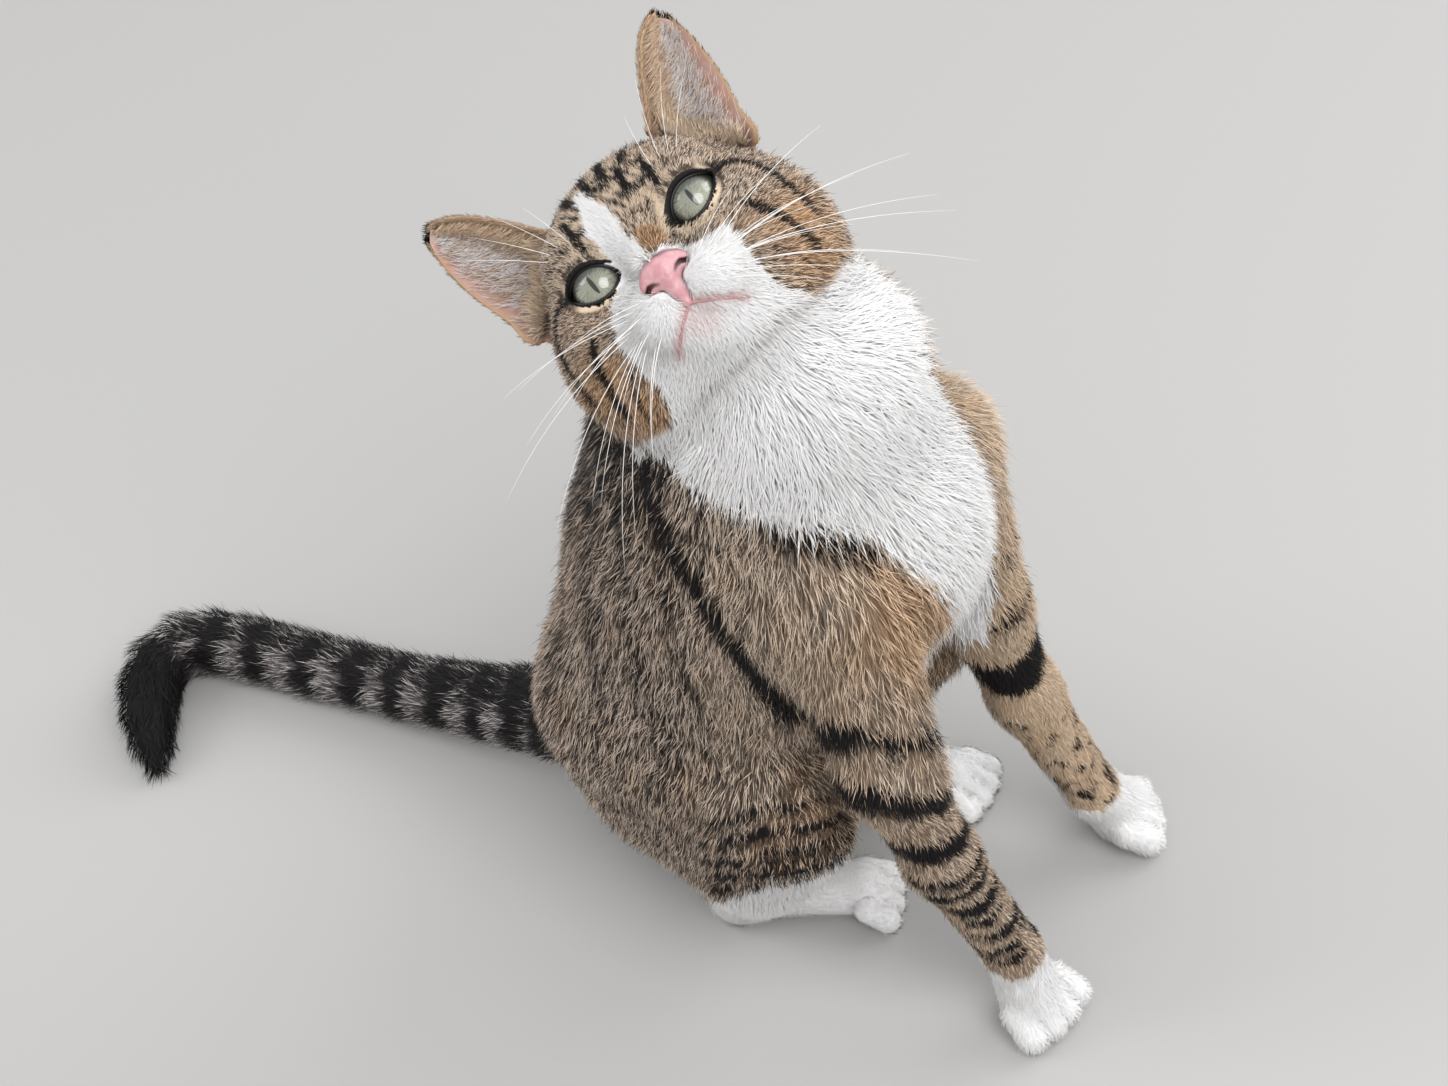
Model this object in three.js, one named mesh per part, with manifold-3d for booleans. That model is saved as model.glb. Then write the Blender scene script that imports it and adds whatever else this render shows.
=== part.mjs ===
// A short-haired tomcat that sits on the floor and looks up over its right shoulder.
//
// Units are millimetres. +Z is up, the cat's body faces -Y and its left side is +X.
// The whole body is one soft form: round lumps along the bones, blended where they meet.
// Each part is cast from a line inside itself onto that form, then parted from its
// neighbours by thin cuts. The form reaches out to the tips of the coat.
// Places below are measured from the floor between the two forepaws. At the end everything
// moves so that the origin lies on the floor under the middle of the cat.
import * as THREE from 'three';
import { mergeVertices } from 'three/addons/utils/BufferGeometryUtils.js';
import Module from 'manifold-3d';

const wasm = await Module();
wasm.setup();

// ---- driving sizes -----------------------------------------------------------------
const GAP = 0.3;              // width of the cuts between parts
const HALF = 900;             // size of the blocks that cut a half of space away
const ROOM_SPARE = 12;        // how far a part is cast past its room before it is cut to it

const HEAD_AT = [-19, 125, 384];   // point midway between the two pupils
const HEAD_TURN = -67.7;      // degrees, the face swings to the cat's right
const HEAD_LIFT = -46.3;      // degrees, the face tips up
const HEAD_TILT = -36;        // degrees, the crown leans to the cat's left

const EYE_APART = 48;         // between the two pupils
const EYE_RADIUS = 11.6;
const EYE_BACK = 12.4;        // from the pupils' level back to the eyeball's centre
const LID_LENGTH = 23;        // of the opening between the lids
const LID_HEIGHT = 14;
const LID_SLANT = 16;         // degrees, the outer corners are the higher ones

// the ears' places are in the head's own directions: x outwards, y back, z up
const EAR = {
  left: { inner: [26, 26, 35], outer: [52, 38, 8], tip: [57, 28, 66.5] },
  right: { inner: [27, 26, 32], outer: [56, 38, 6], tip: [62.5, 28, 64] },
};
const EAR_THICK = 2.4;        // with its fur
const EAR_SCOOP = 17;         // depth of the cup at its foot
const EAR_ROOT = 9;           // how far the ear runs on below its foot, into the head
const EAR_SWELL = [8, 12];    // how far its two edges bow out from straight, inner and outer

// ---- vectors and blending ----------------------------------------------------------
const V = (x, y, z) => new THREE.Vector3(x, y, z);
const at = (list) => V(...list);
const rad = THREE.MathUtils.degToRad;

// the smaller of two distances, rounded off over a width k where they are close
function blend(a, b, k) {
  const near = Math.max(k - Math.abs(a - b), 0) / k;
  return Math.min(a, b) - near * near * k * 0.25;
}

// a lump runs from one point to another with a radius at each; wide widens it sideways
function lump(from, to, r1, r2 = r1, wide = 1) {
  const [ax, ay, az] = [from[0] / wide, from[1], from[2]];
  const [bx, by, bz] = [to[0] / wide - ax, to[1] - ay, to[2] - az];
  const long = bx * bx + by * by + bz * bz || 1;
  const shrink = Math.min(wide, 1);
  return (x, y, z) => {
    const [px, py, pz] = [x / wide - ax, y - ay, z - az];
    const t = Math.min(Math.max((px * bx + py * by + pz * bz) / long, 0), 1);
    const far = Math.hypot(px - t * bx, py - t * by, pz - t * bz);
    return (far - r1 - t * (r2 - r1)) * shrink;
  };
}

const ball = (centre, r, wide = 1) => lump(centre, centre, r, r, wide);

// an egg with its own half sizes along the three directions
function egg([cx, cy, cz], [sx, sy, sz]) {
  const small = Math.min(sx, sy, sz);
  return (x, y, z) => {
    const [dx, dy, dz] = [(x - cx) / sx, (y - cy) / sy, (z - cz) / sz];
    return (Math.hypot(dx, dy, dz) - 1) * small;
  };
}

// lumps through a row of stations [x, y, z, radius]
function limb(stations, wide = 1) {
  return stations.slice(1).map((end, i) => {
    const start = stations[i];
    return lump(start.slice(0, 3), end.slice(0, 3), start[3], end[3], wide);
  });
}

const blended = (forms, k) => (x, y, z) => forms.reduce((d, f) => blend(d, f(x, y, z), k), 1e3);

// ---- the head, in its own directions: x left, y back, z up, from between the pupils --
const toWorld = new THREE.Matrix4()
  .makeTranslation(...HEAD_AT)
  .multiply(new THREE.Matrix4().makeRotationZ(rad(HEAD_TURN)))
  .multiply(new THREE.Matrix4().makeRotationX(rad(HEAD_LIFT)))
  .multiply(new THREE.Matrix4().makeRotationY(rad(HEAD_TILT)));
const toHead = toWorld.clone().invert();
const inHead = (list) => at(list).applyMatrix4(toWorld);
function headWay(list) {
  return at(list).transformDirection(toWorld).toArray();
}

const bothSides = (side) => [...side(1), ...side(-1)];
const skull = blended([
  egg([0, 44, 0], [53, 44, 36]),
  egg([0, 24, 14], [34, 24, 23]),
  ...bothSides((s) => [
    egg([s * 33, 36, -22], [28, 28, 28]),
    egg([s * 28, 28, -38], [25, 24, 20]),
    ball([s * 25, 9, 12], 9.5),
    ball([s * 35, 17, -12], 14),
  ]),
  ball([0, 22, -34], 24, 1.3),
], 14);
const muzzle = blended([
  lump([0, 6, 4], [0, -13, -14], 11, 7.5),
  ...bothSides((s) => [ball([s * 10.5, -6, -28], 13), ball([s * 17, 6, -27], 13)]),
  ball([0, -2, -42], 9, 1.3),
  ball([0, 12, -40], 15, 1.3),
], 7);
function headForm(x, y, z) {
  const e = toHead.elements;
  const hx = e[0] * x + e[4] * y + e[8] * z + e[12];
  const hy = e[1] * x + e[5] * y + e[9] * z + e[13];
  const hz = e[2] * x + e[6] * y + e[10] * z + e[14];
  return blend(skull(hx, hy, hz), muzzle(hx, hy, hz), 9);
}

// ---- trunk, neck and tail ----------------------------------------------------------
const torso = blended([
  ...limb([
    [0, 192, 47, 50], [0, 181, 88, 59], [0, 157, 132, 68.5], [0, 129, 188, 76],
    [0, 111, 238, 73.5], [0, 112, 276, 63],
  ], 0.9),
  ball([0, 78, 232], 56),
], 24);
const throat = blended(limb([
  [2, 95, 268, 60], [3, 93, 303, 52], [2, 112, 336, 46],
]), 20);

const TAIL = [
  [8, 232, 51, 29], [12, 262, 40, 25], [16, 318, 26.5, 20.5], [18, 368, 19.5, 18],
  [18.5, 424, 17.3, 18], [18.5, 460, 17.3, 18], [17, 484, 16.8, 17.5], [11, 499, 16.8, 17.5],
  [-4, 505.5, 16.8, 17.5], [-18, 501.5, 16.8, 17.5], [-33, 493.5, 15.4, 16],
  [-46, 484.5, 12.4, 13], [-55, 477.5, 8.6, 8],
];
const tailForm = blended(limb(TAIL), 2);

// ---- legs --------------------------------------------------------------------------
function forearmLumps({ elbow, wrist, paw }) {
  const middle = at(elbow).lerp(at(wrist), 0.5).add(V(0, 5, 0)).toArray();
  return [
    lump(elbow, middle, 20, 14.5),
    lump(middle, wrist, 14.5, 13.5),
    lump(wrist, [paw[0], paw[1], 15], 13.5, 17.5),
  ];
}
const upperArm = ({ shoulder, elbow }) => lump(shoulder, elbow, 34, 25, 0.8);

const ARM = {
  right: { shoulder: [-42, 62, 236], elbow: [-58, 45, 163], wrist: [-50, 10, 45],
    paw: [-50, 1], heading: -16 },
  left: { shoulder: [46, 67, 239], elbow: [46, 58, 146], wrist: [46, 12, 38],
    paw: [57, 2], heading: 32 },
};
const LEG = {
  right: { hip: [-34, 168, 108], knee: [-60, 104, 112], hock: [-37, 152, 13],
    paw: [-20, 94.5], heading: 24 },
  left: { hip: [34, 168, 108], knee: [60, 98, 112], hock: [53, 149, 13],
    paw: [52, 80], heading: 2 },
};

const thighLumps = ({ hip, knee }) => [
  lump(hip, knee, 58, 38, 0.62),
  lump([hip[0], hip[1] + 4, hip[2] - 40], [knee[0], knee[1] + 20, knee[2] - 36], 38, 32, 0.7),
];
const shankLumps = ({ knee, hock, paw }) => [
  lump(knee, hock, 30, 14),
  lump(hock, [paw[0], paw[1], 14], 14, 15),
];

const SIDES = ['right', 'left'];
const eachSide = (make) => Object.fromEntries(SIDES.map((side) => [side, make(side)]));
const thighForm = eachSide((side) => blended(thighLumps(LEG[side]), 18));
const armForm = eachSide((side) => blended([upperArm(ARM[side]), ...forearmLumps(ARM[side])], 14));
const legForm = eachSide((side) => blended([...thighLumps(LEG[side]), ...shankLumps(LEG[side])], 16));

// the trunk, neck, head and tail with the limbs of one side melted in
function melted(arms, legs) {
  return (x, y, z) => {
    const side = x < 0 ? 'right' : 'left';
    let d = torso(x, y, z);
    d = blend(d, throat(x, y, z), 20);
    d = blend(d, headForm(x, y, z), 16);
    d = blend(d, tailForm(x, y, z), 12);
    if (arms) d = blend(d, arms[side](x, y, z), 12);
    return legs ? blend(d, legs[side](x, y, z), 10) : d;
  };
}
const trunkForm = melted(null, thighForm);
const haunchForm = melted(null, legForm);
const shoulderForm = melted(armForm, null);

// ---- casting a solid from a line inside it -----------------------------------------
const STEP = 3;               // of the search for the surface along a ray
const HALVINGS = 14;          // that close in on it
function surfaceFrom(start, aim, reach, form) {
  const value = (t) => form(start.x + aim.x * t, start.y + aim.y * t, start.z + aim.z * t);
  let out = STEP;
  while (out < reach && value(out) < 0) out += STEP;
  if (out >= reach) return reach;
  let inside = out - STEP;
  for (let i = 0; i < HALVINGS; i += 1) {
    const middle = (inside + out) / 2;
    if (value(middle) < 0) inside = middle;
    else out = middle;
  }
  return inside;
}

// rings stand square to the line; past each end they lean over until they close in a pole.
// far(spot, aim, t) tells how far the skin lies from a spot on the line, t of the way along it
function shell({ line, rings, sides, caps, up = [1, 0, 0] }, far) {
  const path = new THREE.CatmullRomCurve3(line.map(at));
  const corner = [];
  const addPoint = (t, aim) => {
    const spot = path.getPoint(t);
    corner.push(spot.clone().addScaledVector(aim, far(spot, aim, t)));
  };
  const addRing = (t, lean) => {
    const along = path.getTangent(t);
    const across = at(up).addScaledVector(along, -at(up).dot(along)).normalize();
    const third = along.clone().cross(across);
    for (let j = 0; j < sides; j += 1) {
      const turn = (2 * Math.PI * j) / sides;
      addPoint(t, across.clone().multiplyScalar(Math.cos(turn) * Math.cos(lean))
        .addScaledVector(third, Math.sin(turn) * Math.cos(lean))
        .addScaledVector(along, Math.sin(lean)));
    }
  };
  const leanStep = Math.PI / 2 / (caps + 1);
  addPoint(0, path.getTangent(0).negate());
  for (let i = caps; i > 0; i -= 1) addRing(0, -leanStep * i);
  for (let i = 0; i <= rings; i += 1) addRing(i / rings, 0);
  for (let i = 1; i <= caps; i += 1) addRing(1, leanStep * i);
  addPoint(1, path.getTangent(1));
  const index = [];
  const rows = rings + 1 + 2 * caps;
  const lastRing = 1 + (rows - 1) * sides;
  for (let j = 0; j < sides; j += 1) {
    const k = (j + 1) % sides;
    index.push(0, 1 + k, 1 + j, lastRing + j, lastRing + k, corner.length - 1);
    for (let i = 0; i < rows - 1; i += 1) {
      const [a, b] = [1 + i * sides, 1 + (i + 1) * sides];
      index.push(a + j, a + k, b + k, a + j, b + k, b + j);
    }
  }
  return solidOf(corner.flatMap((p) => [p.x, p.y, p.z]), index);
}

// a shell whose skin is the surface of a form, no farther than its reach
function cast({ reach, form, ...shape }) {
  return shell(shape, (spot, aim) => surfaceFrom(spot, aim, reach, form));
}

// a round tube through stations [x, y, z, radius]
function sweep(stations, rings, sides) {
  const last = stations.length - 1;
  const line = stations.map((s) => s.slice(0, 3));
  return shell({ line, rings, sides, caps: 2, up: [0, 0, 1] }, (spot, aim, t) => {
    const i = Math.min(Math.floor(t * last), last - 1);
    return THREE.MathUtils.lerp(stations[i][3], stations[i + 1][3], t * last - i);
  });
}

// ---- joining and cutting -----------------------------------------------------------
function solidOf(positions, index) {
  const mesh = new wasm.Mesh({
    numProp: 3,
    vertProperties: new Float32Array(positions),
    triVerts: new Uint32Array(index),
  });
  return new wasm.Manifold(mesh);
}

function solidFrom(geometry, matrix = new THREE.Matrix4()) {
  const bare = geometry.clone().applyMatrix4(matrix);
  bare.deleteAttribute('normal');
  bare.deleteAttribute('uv');
  const merged = mergeVertices(bare, 1e-4);
  return solidOf(merged.attributes.position.array, merged.index.array);
}

function geometryOf(solid) {
  const mesh = solid.getMesh();
  const geometry = new THREE.BufferGeometry();
  const places = new Float32Array(mesh.vertProperties);
  geometry.setAttribute('position', new THREE.BufferAttribute(places, 3));
  geometry.setIndex(new THREE.BufferAttribute(new Uint32Array(mesh.triVerts), 1));
  geometry.computeVertexNormals();
  return geometry;
}

// the half of space that lies past a point in a direction
function past(point, direction, shift = 0) {
  const aim = at(direction).normalize();
  const turn = new THREE.Quaternion().setFromUnitVectors(V(0, 0, 1), aim);
  const centre = at(point).addScaledVector(aim, HALF / 2 + shift);
  const matrix = new THREE.Matrix4().compose(centre, turn, V(1, 1, 1));
  return solidFrom(new THREE.BoxGeometry(HALF * 2, HALF * 2, HALF), matrix);
}
const aboveFloor = past([0, 0, 0], [0, 0, 1]);

// parts a solid at a plane and returns what lies behind it and past it
function part(solid, point, direction) {
  const behind = solid.subtract(past(point, direction, -GAP / 2));
  return [behind, solid.intersect(past(point, direction, GAP / 2))];
}

function oval(centre, halves, turn, frame = new THREE.Matrix4(), around = 7) {
  const pose = new THREE.Quaternion().setFromEuler(turn);
  const matrix = new THREE.Matrix4().compose(at(centre), pose, at(halves));
  const round = new THREE.SphereGeometry(1, around, Math.round(around * 0.65));
  return solidFrom(round, frame.clone().multiply(matrix));
}

// ---- body parts ---------------------------------------------------------------------
const TRUNK_LINE = [[0, 192, 62], [0, 165, 110], [0, 130, 170], [0, 108, 225], [1, 104, 300]];
const NECK_CUT = { point: [0, 96, 284], way: [0, -0.15, 1] };
const NAPE_CUT = { point: inHead([0, 24, -58]).toArray(), way: headWay([0, -0.5, 0.87]) };
const TAIL_CUTS = [
  { point: [6, 244, 44], way: [0, 1, -0.3] },
  { point: [10, 330, 24], way: [0.05, 1, 0] },
  { point: [14, 440, 18], way: [0, 1, 0] },
];

// the elbow's cut, square to the forearm and a little below the joint
function elbowCut({ elbow, wrist }) {
  return { point: [elbow[0], elbow[1], elbow[2] - 8], way: at(wrist).sub(at(elbow)).toArray() };
}

// the room of a part is the space it may fill; its neighbours keep out of the grown room
const grown = (form, grow) => (x, y, z) => form(x, y, z) - grow;
function fill(castOne, side, form, room) {
  const nearby = grown(room, ROOM_SPARE);
  const flesh = castOne(side, (x, y, z) => Math.max(form(x, y, z), nearby(x, y, z)));
  return flesh.intersect(castOne(side, room));
}

// an upper arm fills an oval over the shoulder and a sleeve down to the elbow
const armRoom = eachSide((side) => {
  const { shoulder, elbow } = ARM[side];
  const over = egg([shoulder[0] * 1.33, shoulder[1] - 2, 204], [35, 47, 74]);
  return blended([over, lump([shoulder[0], shoulder[1], 190], elbow, 34, 34)], 10);
});
function upperArmCast(side, form) {
  const { shoulder, elbow } = ARM[side];
  const line = [[shoulder[0] * 1.2, shoulder[1], shoulder[2] - 14], elbow];
  return cast({ line, rings: 5, sides: 12, caps: 3, reach: 120, form });
}

function forearmAndPaw(side, grow = 0) {
  const { elbow, wrist, paw } = ARM[side];
  const whole = cast({
    line: [elbow, wrist, [paw[0], paw[1], 15]], rings: 7, sides: 12, caps: 2, reach: 60,
    form: grown(armForm[side], grow),
  });
  const { point, way } = elbowCut(ARM[side]);
  return whole.intersect(past(point, way, GAP / 2 - grow));
}

// a hind leg fills an oval over the thigh, and its foot a sleeve along the sole
const haunchRoom = eachSide((side) => egg([LEG[side].knee[0] * 1.25, 134, 88], [52, 86, 80]));
function haunchCast(side, form) {
  const { hip, knee } = LEG[side];
  const line = [[hip[0] * 1.3, hip[1], hip[2] - 14], [knee[0], knee[1], knee[2] - 14]];
  return cast({ line, rings: 4, sides: 16, caps: 3, reach: 120, up: [0, 0, 1], form });
}
const footRoom = eachSide((side) => {
  const { hock, paw } = LEG[side];
  return lump([hock[0], hock[1], 10], [paw[0], paw[1], 10], 24, 27);
});
function footCast(side, form) {
  const { hock, paw } = LEG[side];
  const line = [[hock[0], hock[1], 14], [paw[0], paw[1], 13]];
  return cast({ line, rings: 3, sides: 10, caps: 2, reach: 60, up: [0, 0, 1], form });
}

function makeTrunk() {
  let trunk = cast({
    line: TRUNK_LINE, rings: 11, sides: 18, caps: 3, reach: 140, form: trunkForm,
  }).intersect(aboveFloor);
  trunk = part(trunk, NECK_CUT.point, NECK_CUT.way)[0];
  trunk = part(trunk, TAIL_CUTS[0].point, TAIL_CUTS[0].way)[0];
  for (const side of ['right', 'left']) {
    trunk = trunk.subtract(upperArmCast(side, grown(armRoom[side], GAP)));
    trunk = trunk.subtract(forearmAndPaw(side, GAP));
    trunk = trunk.subtract(haunchCast(side, grown(haunchRoom[side], GAP)));
    trunk = trunk.subtract(footCast(side, grown(footRoom[side], GAP)));
  }
  return trunk;
}

function makeNeck() {
  const neck = cast({
    line: [[0, 100, 255], [3, 108, 306], [4, 122, 356]], rings: 7, sides: 22, caps: 3, reach: 100,
    form: trunkForm,
  });
  const upper = part(neck, NECK_CUT.point, NECK_CUT.way)[1];
  return part(upper, NAPE_CUT.point, NAPE_CUT.way)[0];
}

function makeTail() {
  const line = TAIL.map((station) => station.slice(0, 3));
  const root = cast({
    line: line.slice(0, 4), rings: 9, sides: 12, caps: 2, reach: 60, form: trunkForm,
  }).intersect(aboveFloor);
  const [before, after] = TAIL_CUTS;
  const base = part(part(root, before.point, before.way)[1], after.point, after.way)[0];
  const rest = part(sweep(TAIL.slice(1), 20, 10), after.point, after.way)[1].intersect(aboveFloor);
  const [middle, tip] = part(rest, TAIL_CUTS[2].point, TAIL_CUTS[2].way);
  return { tail_base: base, tail_middle: middle, tail_tip: tip };
}

// four toes fan out before a paw, and one pad of the paw's middle fills in behind them
function toes([x, y], heading, [wide, long, high]) {
  const turn = new THREE.Euler(0, 0, rad(heading));
  return [-1.5, -0.5, 0.5, 1.5].map((step) => {
    const ahead = V(step * wide * 1.42, -8 + Math.abs(step) * 3.4, high * 0.86).applyEuler(turn);
    const swing = new THREE.Euler(0, 0, rad(heading + step * 8));
    return oval([x + ahead.x, y + ahead.y, ahead.z], [wide, long, high], swing);
  });
}

function makeForeleg(side) {
  const { wrist, paw, heading } = ARM[side];
  const { point, way } = elbowCut(ARM[side]);
  const upper = part(fill(upperArmCast, side, shoulderForm, armRoom[side]), point, way)[0];
  const below = forearmAndPaw(side).intersect(aboveFloor);
  const [lower, foot] = part(below, [wrist[0], wrist[1], wrist[2] - 8], [0, -0.25, -1]);
  const fan = toes(paw, heading, [6.6, 11.5, 9]).reduce((all, toe) => all.add(toe), foot);
  return {
    [`upper_arm_${side}`]: upper,
    [`forearm_${side}`]: lower,
    [`forepaw_${side}`]: fan.intersect(aboveFloor),
  };
}

function makeHindleg(side) {
  const { knee, paw, heading } = LEG[side];
  const haunch = fill(haunchCast, side, haunchForm, haunchRoom[side])
    .intersect(aboveFloor)
    .subtract(footCast(side, grown(footRoom[side], GAP)))
    .subtract(upperArmCast(side, grown(armRoom[side], GAP)))
    .subtract(forearmAndPaw(side, GAP));
  const [thigh, shank] = part(haunch, [knee[0], 130, 62], [0, -0.3, -1]);
  const sole = fill(footCast, side, haunchForm, footRoom[side]);
  const foot = toes(paw, heading, [6.2, 11, 8.6]).reduce((all, toe) => all.add(toe), sole);
  return {
    [`thigh_${side}`]: thigh,
    [`shank_${side}`]: shank,
    [`hindfoot_${side}`]: foot.intersect(aboveFloor),
  };
}

// ---- the head's parts ---------------------------------------------------------------
function almond(side, depth) {
  const outline = new THREE.Shape();
  const half = LID_LENGTH / 2;
  outline.moveTo(-half, 0);
  outline.quadraticCurveTo(-half * 0.5, LID_HEIGHT * 0.62, 0, LID_HEIGHT * 0.5);
  outline.quadraticCurveTo(half * 0.75, LID_HEIGHT * 0.42, half, 0);
  outline.quadraticCurveTo(half * 0.5, -LID_HEIGHT * 0.5, 0, -LID_HEIGHT * 0.5);
  outline.quadraticCurveTo(-half * 0.7, -LID_HEIGHT * 0.45, -half, 0);
  const block = new THREE.ExtrudeGeometry(outline, { depth, bevelEnabled: false, curveSegments: 3 });
  const pose = new THREE.Matrix4().makeTranslation(side * EYE_APART / 2, 4, 0)
    .multiply(new THREE.Matrix4().makeRotationY(rad(-side * LID_SLANT)))
    .multiply(new THREE.Matrix4().makeRotationX(rad(90)));
  return solidFrom(block, toWorld.clone().multiply(pose));
}
function eyeball(side, grow = 0) {
  const centre = new THREE.Matrix4().makeTranslation(side * EYE_APART / 2 * 0.96, EYE_BACK, 0);
  return solidFrom(new THREE.SphereGeometry(EYE_RADIUS + grow, 12, 7), toWorld.clone().multiply(centre));
}
function noseLeather(grow = 0) {
  const tipped = new THREE.Euler(rad(-20), 0, 0);
  return oval([0, -12.6, -19], [9.3 + grow, 8.6 + grow, 7.6 + grow], tipped, toWorld, 12);
}

// an ear is a cupped leaf: its front is a grid from foot to tip, its back the same grid pushed out
function earShell(name, side) {
  const [inner, outer, tip] = [EAR[name].inner, EAR[name].outer, EAR[name].tip].map(at);
  const upward = tip.clone().sub(inner.clone().add(outer).multiplyScalar(0.5)).normalize();
  const across = outer.clone().sub(inner).normalize();
  const back = across.clone().cross(upward).normalize();
  if (back.y < 0) back.negate();
  const [rows, columns] = [7, 6];
  const edge = (foot, bulge, u) => {
    const middle = foot.clone().lerp(tip, 0.5).addScaledVector(across, bulge);
    const curve = new THREE.QuadraticBezierCurve3(foot, middle, tip);
    return u < 0 ? foot.clone().addScaledVector(upward, u * EAR_ROOT) : curve.getPoint(u);
  };
  const corner = [];
  for (const layer of [0, 1]) {
    for (let i = 0; i <= rows; i += 1) {
      const u = (i - 1) / (rows - 1);
      for (let j = 0; j <= columns; j += 1) {
        const v = j / columns;
        const sag = EAR_SCOOP * Math.sqrt(Math.max(1 - Math.max(u, 0), 0)) * Math.sin(Math.PI * v);
        const spot = edge(inner, -EAR_SWELL[0], u * 0.97).lerp(edge(outer, EAR_SWELL[1], u * 0.97), v);
        spot.addScaledVector(back, sag + layer * EAR_THICK);
        spot.x *= side;
        corner.push(spot.applyMatrix4(toWorld));
      }
    }
  }
  const [wide, sheet] = [columns + 1, (rows + 1) * (columns + 1)];
  const index = [];
  const quad = (a, b, c, d) => index.push(a, b, c, a, c, d);
  for (let i = 0; i < rows; i += 1) {
    for (let j = 0; j < columns; j += 1) {
      const k = i * wide + j;
      quad(k, k + 1, k + wide + 1, k + wide);
      quad(sheet + k + wide, sheet + k + wide + 1, sheet + k + 1, sheet + k);
    }
    const [l, r] = [i * wide, i * wide + columns];
    quad(sheet + l, l, l + wide, sheet + l + wide);
    quad(r, sheet + r, sheet + r + wide, r + wide);
  }
  for (let j = 0; j < columns; j += 1) {
    const top = rows * wide + j;
    quad(j + 1, j, sheet + j, sheet + j + 1);
    quad(top, top + 1, sheet + top + 1, sheet + top);
  }
  if (side < 0) index.reverse();
  return solidOf(corner.flatMap((p) => [p.x, p.y, p.z]), index);
}

function makeHead() {
  const line = [[0, 62, -14], [0, 18, -16]].map((p) => inHead(p).toArray());
  const up = headWay([1, 0, 0]);
  const shape = { line, rings: 4, sides: 24, caps: 7, reach: 110, up };
  const whole = cast({ ...shape, form: trunkForm });
  const raised = part(whole, NECK_CUT.point, NECK_CUT.way)[1];
  const face = part(raised, NAPE_CUT.point, NAPE_CUT.way)[1];
  const outer = cast({ ...shape, form: (x, y, z) => trunkForm(x, y, z) - GAP });
  let head = face.subtract(noseLeather(GAP));
  const parts = { nose: noseLeather() };
  for (const [name, side] of [['left', 1], ['right', -1]]) {
    head = head.subtract(eyeball(side, GAP)).subtract(almond(side, 60));
    parts[`eye_${name}`] = eyeball(side);
    parts[`ear_${name}`] = earShell(name, side).subtract(outer);
  }
  return { head, ...parts };
}

// ---- the cat ------------------------------------------------------------------------
const LOOKS = [
  { names: /^eye_/, color: 0x9fae97, roughness: 0.08, metalness: 0 },
  { names: /^nose$/, color: 0xe0a0a2, roughness: 0.55, metalness: 0 },
  { names: /^(neck|forepaw|hindfoot)/, color: 0xeeebe6, roughness: 0.9, metalness: 0 },
  { names: /^tail_tip$/, color: 0x2b2724, roughness: 0.9, metalness: 0 },
  { names: /^ear_/, color: 0xa98c78, roughness: 0.85, metalness: 0 },
  { names: /./, color: 0x7d6a54, roughness: 0.9, metalness: 0 },
];

const solids = {
  trunk: makeTrunk(),
  neck: makeNeck(),
  ...makeHead(),
  ...makeTail(),
  ...makeForeleg('right'),
  ...makeForeleg('left'),
  ...makeHindleg('right'),
  ...makeHindleg('left'),
};

const tomcat = new THREE.Group();
for (const [name, solid] of Object.entries(solids)) {
  const { color, roughness, metalness } = LOOKS.find((look) => look.names.test(name));
  const material = new THREE.MeshStandardMaterial({ color, roughness, metalness });
  const mesh = new THREE.Mesh(geometryOf(solid), material);
  mesh.name = name;
  tomcat.add(mesh);
}

const around = new THREE.Box3().setFromObject(tomcat);
const middle = around.getCenter(V(0, 0, 0));
tomcat.children.forEach((mesh) => mesh.geometry.translate(-middle.x, -middle.y, 0));

export default tomcat;
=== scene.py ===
import math

import bmesh
import bpy
import numpy as np
from mathutils import Matrix, Vector


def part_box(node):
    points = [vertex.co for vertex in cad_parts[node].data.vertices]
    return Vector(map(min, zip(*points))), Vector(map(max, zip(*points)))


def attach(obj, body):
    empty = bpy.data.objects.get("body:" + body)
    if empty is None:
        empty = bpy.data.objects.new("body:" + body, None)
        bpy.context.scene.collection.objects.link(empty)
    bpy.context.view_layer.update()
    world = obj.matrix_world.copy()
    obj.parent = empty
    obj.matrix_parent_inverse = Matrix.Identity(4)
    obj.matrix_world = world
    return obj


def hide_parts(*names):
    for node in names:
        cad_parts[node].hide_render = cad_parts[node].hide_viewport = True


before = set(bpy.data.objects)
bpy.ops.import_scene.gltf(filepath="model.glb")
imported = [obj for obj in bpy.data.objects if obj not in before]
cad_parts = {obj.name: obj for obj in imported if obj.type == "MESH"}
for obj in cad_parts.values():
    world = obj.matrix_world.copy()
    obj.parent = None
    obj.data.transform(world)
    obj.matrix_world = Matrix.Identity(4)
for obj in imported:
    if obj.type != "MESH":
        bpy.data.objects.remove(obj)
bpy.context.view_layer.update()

# ---- sizes, in millimetres ------------------------------------------------------------
# places are measured from the floor between the two forepaws, as the solids' source does
TO_ORIGIN = np.array([0.05, -251.66, 0.0])      # from there to the model's own origin
MM = 0.001

HEAD_AT = np.array([-19.0, 125.0, 384.0])       # midway between the two pupils
HEAD_TURN, HEAD_LIFT, HEAD_TILT = -67.7, -46.3, -36.0
EYE_OUT, EYE_BACK, EYE_RADIUS = 23.04, 12.4, 11.6
LID_HALF, LID_UP, LID_DOWN, LID_SLANT = 11.5, 7.2, 6.3, 16.0

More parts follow.
